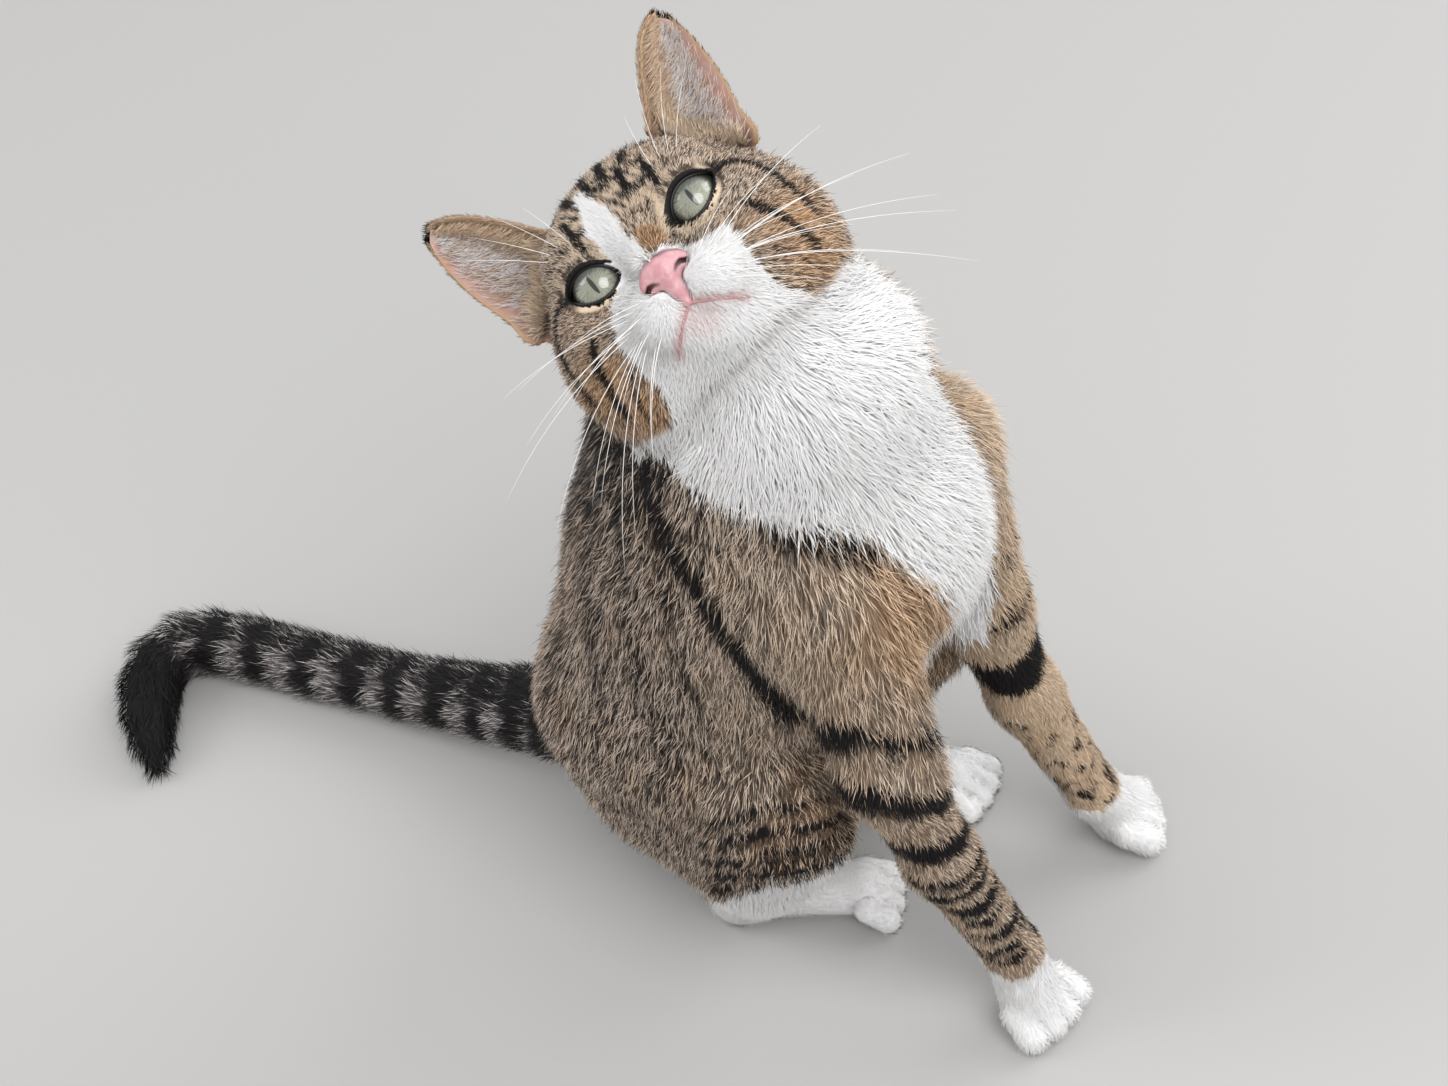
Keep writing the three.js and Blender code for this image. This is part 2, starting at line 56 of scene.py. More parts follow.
SIDES = (1, -1)                                 # the cat's left, then its right
NAMED_SIDES = ((1, "left"), (-1, "right"))
PUPIL_OUT = 24                                  # from the head's middle to a pupil
LID_COS, LID_SIN = math.cos(math.radians(LID_SLANT)), math.sin(math.radians(LID_SLANT))
UPPER_ARC = (LID_HALF ** 2 + LID_UP ** 2) / (2 * LID_UP)            # the radius of each lid's edge
LOWER_ARC = (LID_HALF ** 2 + LID_DOWN ** 2) / (2 * LID_DOWN)
LID_THICK, LID_OVER, EYE_GAP = 1.3, 0.9, 0.15   # a lid, its rim's line and the room round an eye


def turn_about(axis, degrees):
    c, s = math.cos(math.radians(degrees)), math.sin(math.radians(degrees))
    if axis == "X":
        return np.array([[1, 0, 0], [0, c, -s], [0, s, c]])
    if axis == "Y":
        return np.array([[c, 0, s], [0, 1, 0], [-s, 0, c]])
    return np.array([[c, -s, 0], [s, c, 0], [0, 0, 1]])


HEAD_WAYS = turn_about("Z", HEAD_TURN) @ turn_about("X", HEAD_LIFT) @ turn_about("Y", HEAD_TILT)


def in_head(p):
    """Places of the body in the head's own directions: x left, y back, z up."""
    return (p - HEAD_AT) @ HEAD_WAYS


def from_head(p):
    return np.asarray(p, float) @ HEAD_WAYS.T + HEAD_AT


# ---- soft forms, as distances in millimetres ------------------------------------------
def blend(a, b, k):
    near = np.maximum(k - np.abs(a - b), 0) / k
    return np.minimum(a, b) - near * near * k * 0.25


def carve(a, b, k):
    """What is left of a when b is taken out of it, with a rounded lip."""
    return -blend(-a, b, k)


def lump(start, end, r1, r2=None, wide=1.0):
    r2 = r1 if r2 is None else r2
    squeeze = np.array([1 / wide, 1, 1])
    a, way = np.array(start) * squeeze, (np.array(end) - np.array(start)) * squeeze
    long = max(float(way @ way), 1e-9)

    def form(p):
        q = p * squeeze - a
        t = np.clip(q @ way / long, 0, 1)
        return (np.linalg.norm(q - t[:, None] * way, axis=1) - r1 - t * (r2 - r1)) * min(wide, 1)
    return form


def ball(centre, r, wide=1.0):
    return lump(centre, centre, r, r, wide)


def egg(centre, halves):
    centre, halves = np.array(centre, float), np.array(halves, float)
    return lambda p: (np.linalg.norm((p - centre) / halves, axis=1) - 1) * halves.min()


def limb(stations, wide=1.0):
    pairs = zip(stations[:-1], stations[1:])
    return [lump(a[:3], b[:3], a[3], b[3], wide) for a, b in pairs]


def blended(forms, k):
    def form(p):
        d = forms[0](p)
        for other in forms[1:]:
            d = blend(d, other(p), k)
        return d
    return form


# ---- the body's forms, out to the tips of the coat -------------------------------------
SKULL = blended([
    egg([0, 44, 0], [53, 44, 36]),
    egg([0, 24, 14], [34, 24, 23]),
    *[form for s in SIDES for form in (
        egg([s * 33, 36, -22], [28, 28, 28]),
        egg([s * 28, 28, -38], [25, 24, 20]),
        ball([s * 25, 9, 12], 9.5),
        ball([s * 35, 17, -12], 14),
    )],
    ball([0, 22, -34], 24, 1.3),
], 14)
MUZZLE = blended([
    lump([0, 6, 4], [0, -13, -14], 11, 7.5),
    *[form for s in SIDES for form in (ball([s * 10.5, -6, -28], 13), ball([s * 17, 6, -27], 13))],
    ball([0, -2, -42], 9, 1.3),
    ball([0, 12, -40], 15, 1.3),
], 7)
TORSO = blended([
    *limb([
        [0, 192, 47, 50], [0, 181, 88, 59], [0, 157, 132, 68.5], [0, 129, 188, 76],
        [0, 111, 238, 73.5], [0, 112, 276, 63],
    ], 0.9),
    ball([0, 78, 232], 56),
], 24)
THROAT = blended(limb([[2, 95, 268, 60], [3, 93, 303, 52], [2, 112, 336, 46]]), 20)
TAIL = [
    [8, 232, 51, 29], [12, 262, 40, 25], [16, 318, 26.5, 20.5], [18, 368, 19.5, 18],
    [18.5, 424, 17.3, 18], [18.5, 460, 17.3, 18], [17, 484, 16.8, 17.5], [11, 499, 16.8, 17.5],
    [-4, 505.5, 16.8, 17.5], [-18, 501.5, 16.8, 17.5], [-33, 493.5, 15.4, 16],
    [-46, 484.5, 12.4, 13], [-55, 477.5, 8.6, 8],
]
TAIL_FORM = blended(limb(TAIL), 2)

ARM = {
    -1: dict(shoulder=[-42, 62, 236], elbow=[-58, 45, 163], wrist=[-50, 10, 45],
             paw=[-50, 1], heading=-16),
    1: dict(shoulder=[48, 63, 237], elbow=[49, 54, 147], wrist=[46, 12, 38],
            paw=[57, 2], heading=32),
}
LEG = {
    -1: dict(hip=[-34, 168, 108], knee=[-60, 104, 112], hock=[-37, 152, 13],
             paw=[-20, 94.5], heading=24),
    1: dict(hip=[34, 168, 108], knee=[60, 98, 112], hock=[53, 149, 13],
            paw=[52, 80], heading=2),
}


def arm_form(arm):
    shoulder, elbow, wrist, paw = (arm[k] for k in ("shoulder", "elbow", "wrist", "paw"))
    middle = (np.array(elbow) + np.array(wrist)) / 2 + [0, 5, 0]
    upper = blended([
        lump(shoulder, elbow, 34, 25, 0.8),
        lump(elbow, middle, 20, 15),
        lump(middle, wrist, 15, 12.8),
    ], 12)
    ball_of_paw = lump(wrist, [paw[0], paw[1] + 3, 13.5], 12.4, 15)
    return lambda p: blend(upper(p), ball_of_paw(p), 5)


def leg_form(leg):
    hip, knee, hock, paw = (np.array(leg[k], float) for k in ("hip", "knee", "hock", "paw"))
    return blended([
        lump(hip, knee, 58, 38, 0.62),
        lump(hip + [0, 4, -40], knee + [0, 20, -36], 38, 32, 0.7),
        lump(knee, hock, 30, 14),
        lump(hock, [paw[0], paw[1] + 6, 13], 13.5, 13.5),
    ], 16)


TOE_STEPS = (-1.5, -0.5, 0.5, 1.5)
FORE_TOE, HIND_TOE = (9.6, 7.2), (8.8, 6.9)     # from one toe to the next, and a toe's radius


def toe_lines(paw, heading, spread):
    """Each toe's knuckle and its tip, four side by side."""
    turn, foot = turn_about("Z", heading), np.array([*paw, 0])
    return [(foot + turn @ [step * spread * 0.88, 2, 17 - 2.4 * abs(step)],
             foot + turn @ [step * spread * 0.98, -9.8 + 2.0 * abs(step), 8.0]) for step in TOE_STEPS]


def toe_form(paw, heading, spread, r):
    lumps = [lump(knuckle, tip, r, r + 0.4) for knuckle, tip in toe_lines(paw, heading, spread)]
    return lambda p: np.min([form(p) for form in lumps], axis=0)


ARM_FORMS = {s: arm_form(ARM[s]) for s in SIDES}
LEG_FORMS = {s: leg_form(LEG[s]) for s in SIDES}
FORE_TOES = {s: toe_form(ARM[s]["paw"], ARM[s]["heading"], *FORE_TOE) for s in SIDES}
HIND_TOES = {s: toe_form(LEG[s]["paw"], LEG[s]["heading"], *HIND_TOE) for s in SIDES}


def body_form(p):
    head = in_head(p)
    d = TORSO(p)
    d = blend(d, THROAT(p), 20)
    d = blend(d, blend(SKULL(head), MUZZLE(head), 9), 16)
    d = blend(d, TAIL_FORM(p), 12)
    for s in SIDES:
        d = blend(d, ARM_FORMS[s](p), 12)
        d = blend(d, LEG_FORMS[s](p), 10 + 20 * fade(p[:, 2], 90, 125) * fade(p[:, 1], 80, 100))
    for s in SIDES:
        d = blend(d, FORE_TOES[s](p), 5)
        d = blend(d, HIND_TOES[s](p), 5)
    return d


def fade(x, low, high):
    """0 below low, 1 above high, smooth between."""
    t = np.clip((x - low) / (high - low), 0, 1)
    return t * t * (3 - 2 * t)


def along(p, stations, ways=False):
    """Distance from a row of places, how far along it from 0 to 1, and the nearest place on it."""
    stations = np.array(stations, float)[:, :3]
    best, where = np.full(len(p), 1e9), np.zeros(len(p))
    spot, heading = np.zeros((len(p), 3)), np.zeros((len(p), 3))
    count = len(stations) - 1
    for i, (a, b) in enumerate(zip(stations[:-1], stations[1:])):
        way = b - a
        t = np.clip((p - a) @ way / (way @ way), 0, 1)
        middle = a + t[:, None] * way
        far = np.linalg.norm(p - middle, axis=1)
        near = far < best
        best[near], where[near] = far[near], (i + t[near]) / count
        spot[near] = middle[near]
        heading[near] = way / np.linalg.norm(way)
    return (best, where, spot, heading) if ways else (best, where, spot)


# ---- the coat's depth over each part ---------------------------------------------------
def arm_line(s):
    arm = ARM[s]
    return [arm["shoulder"], arm["elbow"], arm["wrist"], [*arm["paw"], 10]]


def leg_line(s):
    leg = LEG[s]
    return [leg["hip"], leg["knee"], leg["hock"], [*leg["paw"], 10]]


def part_nearness(p):
    """How much a place belongs to each part, from how deep it lies in that part's form."""
    head = in_head(p)
    depth = {
        "head": blend(SKULL(head), MUZZLE(head), 9),
        "trunk": np.minimum(TORSO(p), THROAT(p) + 2),
        "tail": TAIL_FORM(p),
    }
    for s, name in NAMED_SIDES:
        depth["arm_" + name] = np.minimum(ARM_FORMS[s](p), FORE_TOES[s](p))
        depth["leg_" + name] = np.minimum(LEG_FORMS[s](p), HIND_TOES[s](p))
    stack = np.array(list(depth.values()))
    weight = np.exp(-(stack - stack.min(0)) / 6)
    weight /= weight.sum(0)
    return dict(zip(depth, weight))


def both(share, limb):
    return share[limb + "_left"] + share[limb + "_right"]


def coat_depth(p):
    """How deep the coat stands over the skin, in millimetres."""
    share = part_nearness(p)
    head = in_head(p)
    face = 1 - fade(head[:, 1], 2, 34)
    depth = share["trunk"] * (6.5 + 3.5 * (1 - fade(p[:, 1], 45, 100)))
    depth = depth + share["head"] * (4.6 - 3.2 * face)
    depth = depth + share["tail"] * 5.5
    for _, name in NAMED_SIDES:
        depth = depth + share["arm_" + name] * (1.6 + 4.8 * fade(p[:, 2], 60, 210))
        depth = depth + share["leg_" + name] * (1.6 + 4.4 * fade(p[:, 2], 35, 75))
    return depth * fade(p[:, 2], -6, 14)


def eye_centre(s):
    return np.array([s * EYE_OUT, EYE_BACK, 0.0])


def opening(head, s):
    """Distance outside the almond between one eye's lids, seen from the front."""
    x, z = s * (head[:, 0] - s * PUPIL_OUT), head[:, 2]
    u, v = x * LID_COS + z * LID_SIN, -x * LID_SIN + z * LID_COS
    upper = np.hypot(u, v - (LID_UP - UPPER_ARC)) - UPPER_ARC
    lower = np.hypot(u, v - (LOWER_ARC - LID_DOWN)) - LOWER_ARC
    return np.maximum(upper, lower)


def mirrored(stations, s):
    return [[s * q[0], *q[1:]] for q in stations]


MOUTH = [[17, -6, -43], [13, -11.5, -40], [7, -15.6, -36], [2.3, -15.8, -33], [0, -16, -31.6]]


def toe_grooves(paw, heading, spread):
    """Lines between one toe and the next, over the top of a paw and down its front."""
    ahead = turn_about("Z", heading) @ [0, -1.0, 0]
    toes = toe_lines(paw, heading, spread)
    lines = []
    for (k1, t1), (k2, t2) in zip(toes[:-1], toes[1:]):
        knuckle, tip = (k1 + k2) / 2, (t1 + t2) / 2
        lines.append([list(knuckle + [0, 0, 4.6] - ahead), list(tip + [0, 0, 3.6] + ahead * 2),
                      list(tip + ahead * 4.4), list(tip - [0, 0, 5] + ahead * 3)])
    return lines


GROOVES = [line for s in SIDES for limbs, toe in ((ARM, FORE_TOE), (LEG, HIND_TOE))
           for line in toe_grooves(limbs[s]["paw"], limbs[s]["heading"], toe[0])]


def skin_form(p):
    d = body_form(p) + coat_depth(p)
    low = p[:, 2] < 26
    feet = d[low]
    for line in GROOVES:
        feet = carve(feet, along(p[low], line)[0] - 0.9, 1.2)
    d[low] = feet
    head = in_head(p)
    close = np.linalg.norm(head - [0, 0, -12], axis=1) < 75
    h, face = head[close], d[close]
    for s in SIDES:
        from_eye = np.linalg.norm(h - eye_centre(s), axis=1)
        face = blend(face, from_eye - EYE_RADIUS - LID_THICK, 3.0)
        in_front = np.maximum(opening(h, s), h[:, 1] - EYE_BACK)
        hollow = np.minimum(in_front, from_eye - EYE_RADIUS - EYE_GAP)
        face = carve(face, hollow, 1.0)
        lip = along(h, mirrored(MOUTH, s))[0] - 2.0
        face = carve(face, lip, 1.6)
    d[close] = carve(face, nose_form(h) - 0.2, 1.0)
    return d


def nose_form(h):
    d = egg([0, -12.6, -15.6], [9.0, 6.6, 5.6])(h)
    for s in SIDES:
        d = blend(d, ball([s * 7.0, -12.8, -17.4], 3.4)(h), 2.5)
    d = blend(d, lump([0, -14.6, -19], [0, -13.6, -26], 4.6, 3.0)(h), 3)
    return blend(d, lump([0, -13.8, -26], [0, -14.2, -31], 2.6, 1.6)(h), 2)


# ---- closed meshes over soft forms -----------------------------------------------------
def strips(rows, columns, start=0):
    """Four-sided faces between rings of places, one ring after another."""
    faces = []
    for i in range(rows - 1):
        for j in range(columns):
            a, b = start + i * columns + j, start + i * columns + (j + 1) % columns
            faces.append((a, b, b + columns, a + columns))
    return faces


def net(form, low, high, step, block=4):
    """The skin of a form as places and four-sided faces, from a grid of cubes.

    Only the blocks of cubes that the skin may pass through are worked out in full.
    """
    low, high = np.array(low, float), np.array(high, float)
    blocks = np.ceil((high - low) / (step * block)).astype(int)
    coarse = np.stack(np.meshgrid(*[np.arange(n + 1) for n in blocks], indexing="ij"), -1)
    rough = form(low + coarse.reshape(-1, 3) * step * block).reshape(coarse.shape[:3])
    shape = blocks * block + 1
    reach = step * block * 1.8
    least = np.full(blocks, 1e9)
    for i in (0, 1):
        for j in (0, 1):
            for k in (0, 1):
                corner = rough[i:blocks[0] + i, j:blocks[1] + j, k:blocks[2] + k]
                least = np.minimum(least, np.abs(corner))
    near = np.zeros(shape, bool)
    d = np.full(shape, 1e3, np.float32)
    d[:-1, :-1, :-1] = np.repeat(np.repeat(np.repeat(rough[:-1, :-1, :-1], block, 0), block, 1), block, 2)
    for i, j, k in np.argwhere(least < reach):
        a, b, c = i * block, j * block, k * block
        near[a:a + block + 1, b:b + block + 1, c:c + block + 1] = True
    spots = np.argwhere(near)
    d[near] = form(low + spots * step)
    inside = d < 0
    corners = [(i, j, k) for i in (0, 1) for j in (0, 1) for k in (0, 1)]
    full = sum(inside[i:shape[0] - 1 + i, j:shape[1] - 1 + j, k:shape[2] - 1 + k].astype(np.int8)
               for i, j, k in corners)
    active = (full > 0) & (full < 8)
    number = np.full(active.shape, -1, np.int64)
    cell = np.argwhere(active)
    number[active] = np.arange(len(cell))
    total, hits = np.zeros((len(cell), 3)), np.zeros(len(cell))
    for a in corners:
        for axis in range(3):
            if a[axis]:
                continue
            b = list(a)
            b[axis] = 1
            da, db = (d[tuple((cell + off).T)] for off in (a, b))
            cross = (da < 0) != (db < 0)
            t = da[cross] / (da[cross] - db[cross])
            spot = np.tile(np.array(a, float), (cross.sum(), 1))
            spot[:, axis] = t
            total[cross] += spot
            hits[cross] += 1
    places = low + step * (cell + total / hits[:, None])
    quads = []
    for axis in range(3):
        u, v = (axis + 1) % 3, (axis + 2) % 3
        first = [slice(None)] * 3
        second = [slice(None)] * 3
        first[axis], second[axis] = slice(None, -1), slice(1, None)
        a, b = inside[tuple(first)], inside[tuple(second)]
        edge = np.argwhere(a != b)
        step_u, step_v = np.eye(3, dtype=int)[u], np.eye(3, dtype=int)[v]
        ring = [edge - step_u - step_v, edge - step_v, edge, edge - step_u]
        quad = np.stack([number[tuple(r.T)] for r in ring], 1)
        inward = ~a[tuple(edge.T)]
        quad[inward] = quad[inward][:, ::-1]
        quads.append(quad)
    return places, np.concatenate(quads)


def settle(p, form, rounds=3, feel=0.25):
    """Moves places onto the form's surface."""
    p = p.copy()
    for _ in range(rounds):
        d = form(p)
        slope = np.stack([form(p + feel * way) - d for way in np.eye(3)], 1) / feel
        p -= np.clip(d, -3, 3)[:, None] * slope / np.maximum((slope ** 2).sum(1), 0.2)[:, None]
    return p


def to_model(p):
    return (np.asarray(p) + TO_ORIGIN) * MM


def placed(name, data):
    thing = bpy.data.objects.new(name, data)
    bpy.context.scene.collection.objects.link(thing)
    return thing


def new_piece(name, places, faces, material=None, smooth=True):
    mesh = bpy.data.meshes.new(name)
    mesh.from_pydata(np.asarray(places).tolist(), [], [list(map(int, f)) for f in faces])
    mesh.update()
    if smooth:
        mesh.shade_smooth()
    if material:
        mesh.materials.append(material)
    return placed(name, mesh)


def of_corners(mesh, what):
    """A vector kept for each corner of a mesh: its place or its normal."""
    flat = np.empty(len(mesh.vertices) * 3, np.float32)
    mesh.vertices.foreach_get(what, flat)
    return flat.reshape(-1, 3).astype(float)


def places_of(mesh):
    """The corners of a mesh, back in the millimetres of the forms."""
    return of_corners(mesh, "co") / MM - TO_ORIGIN


def worked(piece, work):
    """Changes a piece's mesh by one piece of work on its corners and faces."""
    made = bmesh.new()
    made.from_mesh(piece.data)
    work(made)
    made.to_mesh(piece.data)
    made.free()
    piece.data.update()


def finer(piece, chosen):
    """Cuts each face whose corners are all chosen into four."""
    def cut(made):
        edges = [e for e in made.edges if chosen[e.verts[0].index] and chosen[e.verts[1].index]]
        bmesh.ops.subdivide_edges(made, edges=edges, cuts=1, use_grid_fill=True)
    worked(piece, cut)


def face_out(piece):
    worked(piece, lambda made: bmesh.ops.recalc_face_normals(made, faces=made.faces))


# ---- the skin --------------------------------------------------------------------------
FLESH = [
    "trunk", "neck", "head", "tail_base", "tail_middle", "tail_tip",
    "upper_arm_right", "forearm_right", "forepaw_right",
    "upper_arm_left", "forearm_left", "forepaw_left",
    "thigh_right", "shank_right", "hindfoot_right",
    "thigh_left", "shank_left", "hindfoot_left",
]
SKIN_STEP = 2.4
FINE_FACE, FINER_FACE = (62, 30), (40, 16)      # how far from the muzzle, and how far back
FINE_PAW = 27


def make_skin():
    boxes = np.array([np.array(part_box(node)) for node in FLESH]) / MM - TO_ORIGIN
    places, quads = net(skin_form, boxes[:, 0].min(0) - 6, boxes[:, 1].max(0) + 6, SKIN_STEP)
    piece = new_piece("skin", to_model(settle(places, skin_form)), quads)
    for reach, front in (FINE_FACE, FINER_FACE):
        spots = places_of(piece.data)
        head = in_head(spots)
        chosen = (np.linalg.norm(head - [0, 0, -10], axis=1) < reach) & (head[:, 1] < front)
        if (reach, front) == FINE_FACE:
            for paw in [limbs[s]["paw"] for limbs in (ARM, LEG) for s in SIDES]:
                chosen |= np.linalg.norm(spots - [*paw, 0] - [0, -6, 0], axis=1) < FINE_PAW
        finer(piece, chosen)
    spots = settle(places_of(piece.data), skin_form, 2)
    spots[:, 2] = np.maximum(spots[:, 2], 0.4)
    piece.data.vertices.foreach_set("co", to_model(spots).astype(np.float32).ravel())
    piece.data.update()
    return piece


# ---- markings: masks worked out from the place on the body -----------------------------
CHIN = from_head([0, -2, -48])


def ripple(p, size, seed):
    """A smooth unevenness between about -1 and 1, its waves about one size long."""
    dice = np.random.default_rng(seed)
    total = np.zeros(len(p))
    for _ in range(6):
        way = dice.normal(size=3)
        way *= (2 * math.pi / size) * dice.uniform(0.7, 1.5) / np.linalg.norm(way)
        total += np.sin(p @ way + dice.uniform(0, 6.28))
    return total / 3.2


def most(*masks):
    return np.max(masks, axis=0)


def least(*masks):
    return np.min(masks, axis=0)


def stroke(p, stations, r, soft):
    """1 on a drawn line of the given half width, 0 a soft edge beyond it."""
    far, _, _ = along(p, stations)
    return 1 - fade(far, r - soft * 0.5, r + soft * 0.5)


def white_trunk(p, h, share, wobble):
    """The bib and the belly. The bib's right edge falls from the cheek to the breast, then down it."""
    x, y, z = p.T
    right = np.maximum(x + 15 + 24 * np.clip((z - 207) / 63, 0, 1.6) + 15 * fade(-z, -200, -172),
                       (z - 270) - 0.46 * (y - 40))
    left = np.maximum(35 - x - 0.2 * np.maximum(z - 271, 0) - 0.3 * np.maximum(165 - z, 0),
                      (z - 306) - 0.9 * (y - 40))
    front = 96 - y + 0.25 * np.maximum(z - 230, 0)
    bib = least(right, left, front + 18 * fade(z, 255, 300))
    _, hy, hz = h.T
    under = share["head"] * fade(hy - 0.55 * hz, 42, 56) * fade(-hz, 48, 58)
    upper_arms = both(share, "arm") * fade(z, 108, 128)
    bib = fade(bib + wobble, -2.2, 2.2) * np.clip(share["trunk"] + under + 0.9 * upper_arms, 0, 1)
    belly = least(x + 38, 27 - x, 110 - y, z - 76)
    return np.maximum(bib, fade(belly + wobble, -2, 3) * fade(-z, -190, -165))


def white_face(h, wobble):
    """The muzzle, the chin and the blaze that runs up beside the nose."""
    hx, hy, hz = h.T
    side = np.where(hx > 0, 28.5 - 3 * fade(hz, -20, -8), 31.5 - 6 * fade(hz, -26, -8))
    side = side + 8 * fade(-hz, 46, 60)
    brim = np.where(hx > 0, -9.5 - 5 * fade(hx, 8, 14), -2.5 - 0.72 * np.maximum(-hx - 14, 0))
    muzzle = least(side - np.abs(hx), brim - hz, 34 - hy + 30 * fade(-hz, 44, 60))
    blaze = least(6.4 - np.abs(hx + 7.6) - 0.32 * np.maximum(hz - 16, 0), 31 - hz)
    nose_side = least(hz + 14, 2 - hz, -0.5 - hx, hx + 20)
    face = np.maximum(muzzle, np.minimum(np.maximum(blaze, nose_side), 36 - hy))
    return fade(face + 0.35 * wobble + 0.7 * ripple(h, 3, 5), -0.7, 0.7)


def white_socks(p, share, wobble):
    x, y, z = p.T
    socks = np.zeros(len(p))
    for s, name in NAMED_SIDES:
        top = (41 if s < 0 else 41 + 0.35 * (x - 46)) + 18 * fade(y - 0.1 * z, 12, 20)
        socks += share["arm_" + name] * fade(top - z + 0.7 * wobble, -1.6, 1.6)
        over = np.clip(90 - 0.95 * (y - 102), 30, 97) - 30
        edge = 30 + over * fade(s * x, 40, 62) * fade(y, 62, 70)
        socks += share["leg_" + name] * fade(edge - z + 0.7 * wobble, -2, 2)
    return socks


def white_area(p, h, share):
    wobble = 2.6 * ripple(p, 16, 3) + 1.2 * ripple(p, 5, 4)
    face = white_face(h, wobble) * share["head"]
    return np.clip(most(white_trunk(p, h, share, wobble), face, white_socks(p, share, wobble)), 0, 1)


def rings(c, centres, half, soft):
    total = np.zeros(len(c))
    for centre in centres:
        total = np.maximum(total, 1 - fade(np.abs(c - centre), half - soft, half + soft))
    return total


def mottle(h):
    """The unevenness of the forehead: dark where it is high, cream where it is low."""
    return ripple(h * [1.6, 1, 0.7], 5, 12)


def face_lines(h):
    dark = np.zeros(len(h))
    wobble = 0.5 * ripple(h, 7, 11)
    for s in SIDES:
        lines = (
            ([[34.5, 2, 3], [43.7, 9, 3], [49.5, 12, -4], [53, 13, -13], [55.5, 17, -26],
              [54, 22, -38]], 1.6, 1),
            ([[38, 1, -16], [43.5, 4.5, -24], [46.5, 7.5, -34], [47.5, 11, -43]], 1.9, 0.95),
            ([[35, 1.6, -33], [39.5, 5, -41], [42.5, 11, -50]], 1.4, 0.7),
            ([[18.4, 3, 24], [18.4, -2.9, 15], [18, -3.3, 11]], 1.8, 0.95),
            ([[9.5, 4, 27], [8.6, -0.9, 18.5]], 1.9, 0.9),
            ([[25, 2, 20], [24.8, -2.7, 14.5]], 1.1, 0.6),
            ([[12.7, 8, 30.7], [17, 26, 38], [20, 44, 40]], 2.4, 0.85),
            ([[3.6, 6, 29], [5, 24, 42], [6, 44, 44]], 2.4, 0.85),
            ([[22, 15, 32], [27, 30, 34], [32, 46, 30]], 2.2, 0.7),
            ([[13.4, -3.2, -2.6], [12.2, -4, -7.4]], 1.3, 1),
        )
        for stations, half, strength in lines:
            flat = [[x, y * 0.4, z] for x, y, z in mirrored(stations, s)]
            dark = np.maximum(dark, strength * stroke(h * [1, 0.4, 1], flat, half + wobble, 1.6))
    mottled = fade(mottle(h), -0.1, 0.4) * fade(h[:, 2], 2, 12)
    dark = np.maximum(dark, 0.72 * mottled * fade(-np.abs(h[:, 0]), -22, -14))
    nose_edge = stroke(h, [[3.5, -15.4, -9.6], [8.5, -13.8, -11.4], [11, -12.2, -14.6]], 1.1, 1.2)
    return np.maximum(dark, nose_edge)


def foreleg_bands(p, s, uneven):
    x, _, z = p.T
    if s > 0:
        c = z - 0.3 * (x - 46)
        spots = fade(ripple(p, 9, 24), 0.35, 0.75) * fade(-z, -98, -90)
        return most(
            rings(c + 2 * uneven, (118,), 8, 2.4),
            0.75 * spots,
            0.6 * rings(c + 2 * uneven, (58, 51, 44), 1.4, 1.4),
            0.7 * rings(c + 2 * uneven, (150, 178), 3, 2),
        )
    c = z - (-x - 65) * (0.8 * fade(z, 100, 150) - 0.15)
    small = rings(c + 1.5 * uneven, (105, 95, 85, 75.5, 66.5, 58, 50), 2.7, 1.4)
    broken = fade(ripple(p, 17, 25) + 0.55, -0.1, 0.3)
    return most(
        rings(c + 2 * uneven, (186,), 4.6, 2) * fade(z, 150, 170),
        rings(c + 2 * uneven, (152,), 7.5, 2),
        rings(c + 2 * uneven, (122,), 5.2, 2),
        small * broken * fade(-z, -114, -108),
        0.4 * rings(c + 3 * uneven, (222, 207), 1.6, 2),
    )


def tail_rings(p, uneven, fine):
    """Rings, joined along the tail's top, and a black end."""
    x, y, _ = p.T
    _, far, middle = along(p, TAIL)
    off_x, _, off_z = (p - middle).T
    ring_at = rings(y + 3 * uneven, (250, 268, 287, 311, 338, 365, 391, 421, 451, 480), 7.6, 5)
    top = fade(off_z + 0.35 * off_x + 3 * uneven, 6, 13) * fade(fine + 0.5, -0.2, 0.3)
    end = np.maximum(fade(-x, -2, 10) * fade(y, 440, 470), fade(far, 0.66, 0.72))
    return most(ring_at * (1 - 0.6 * fade(-off_z, 2, 12)), 0.8 * top, end)


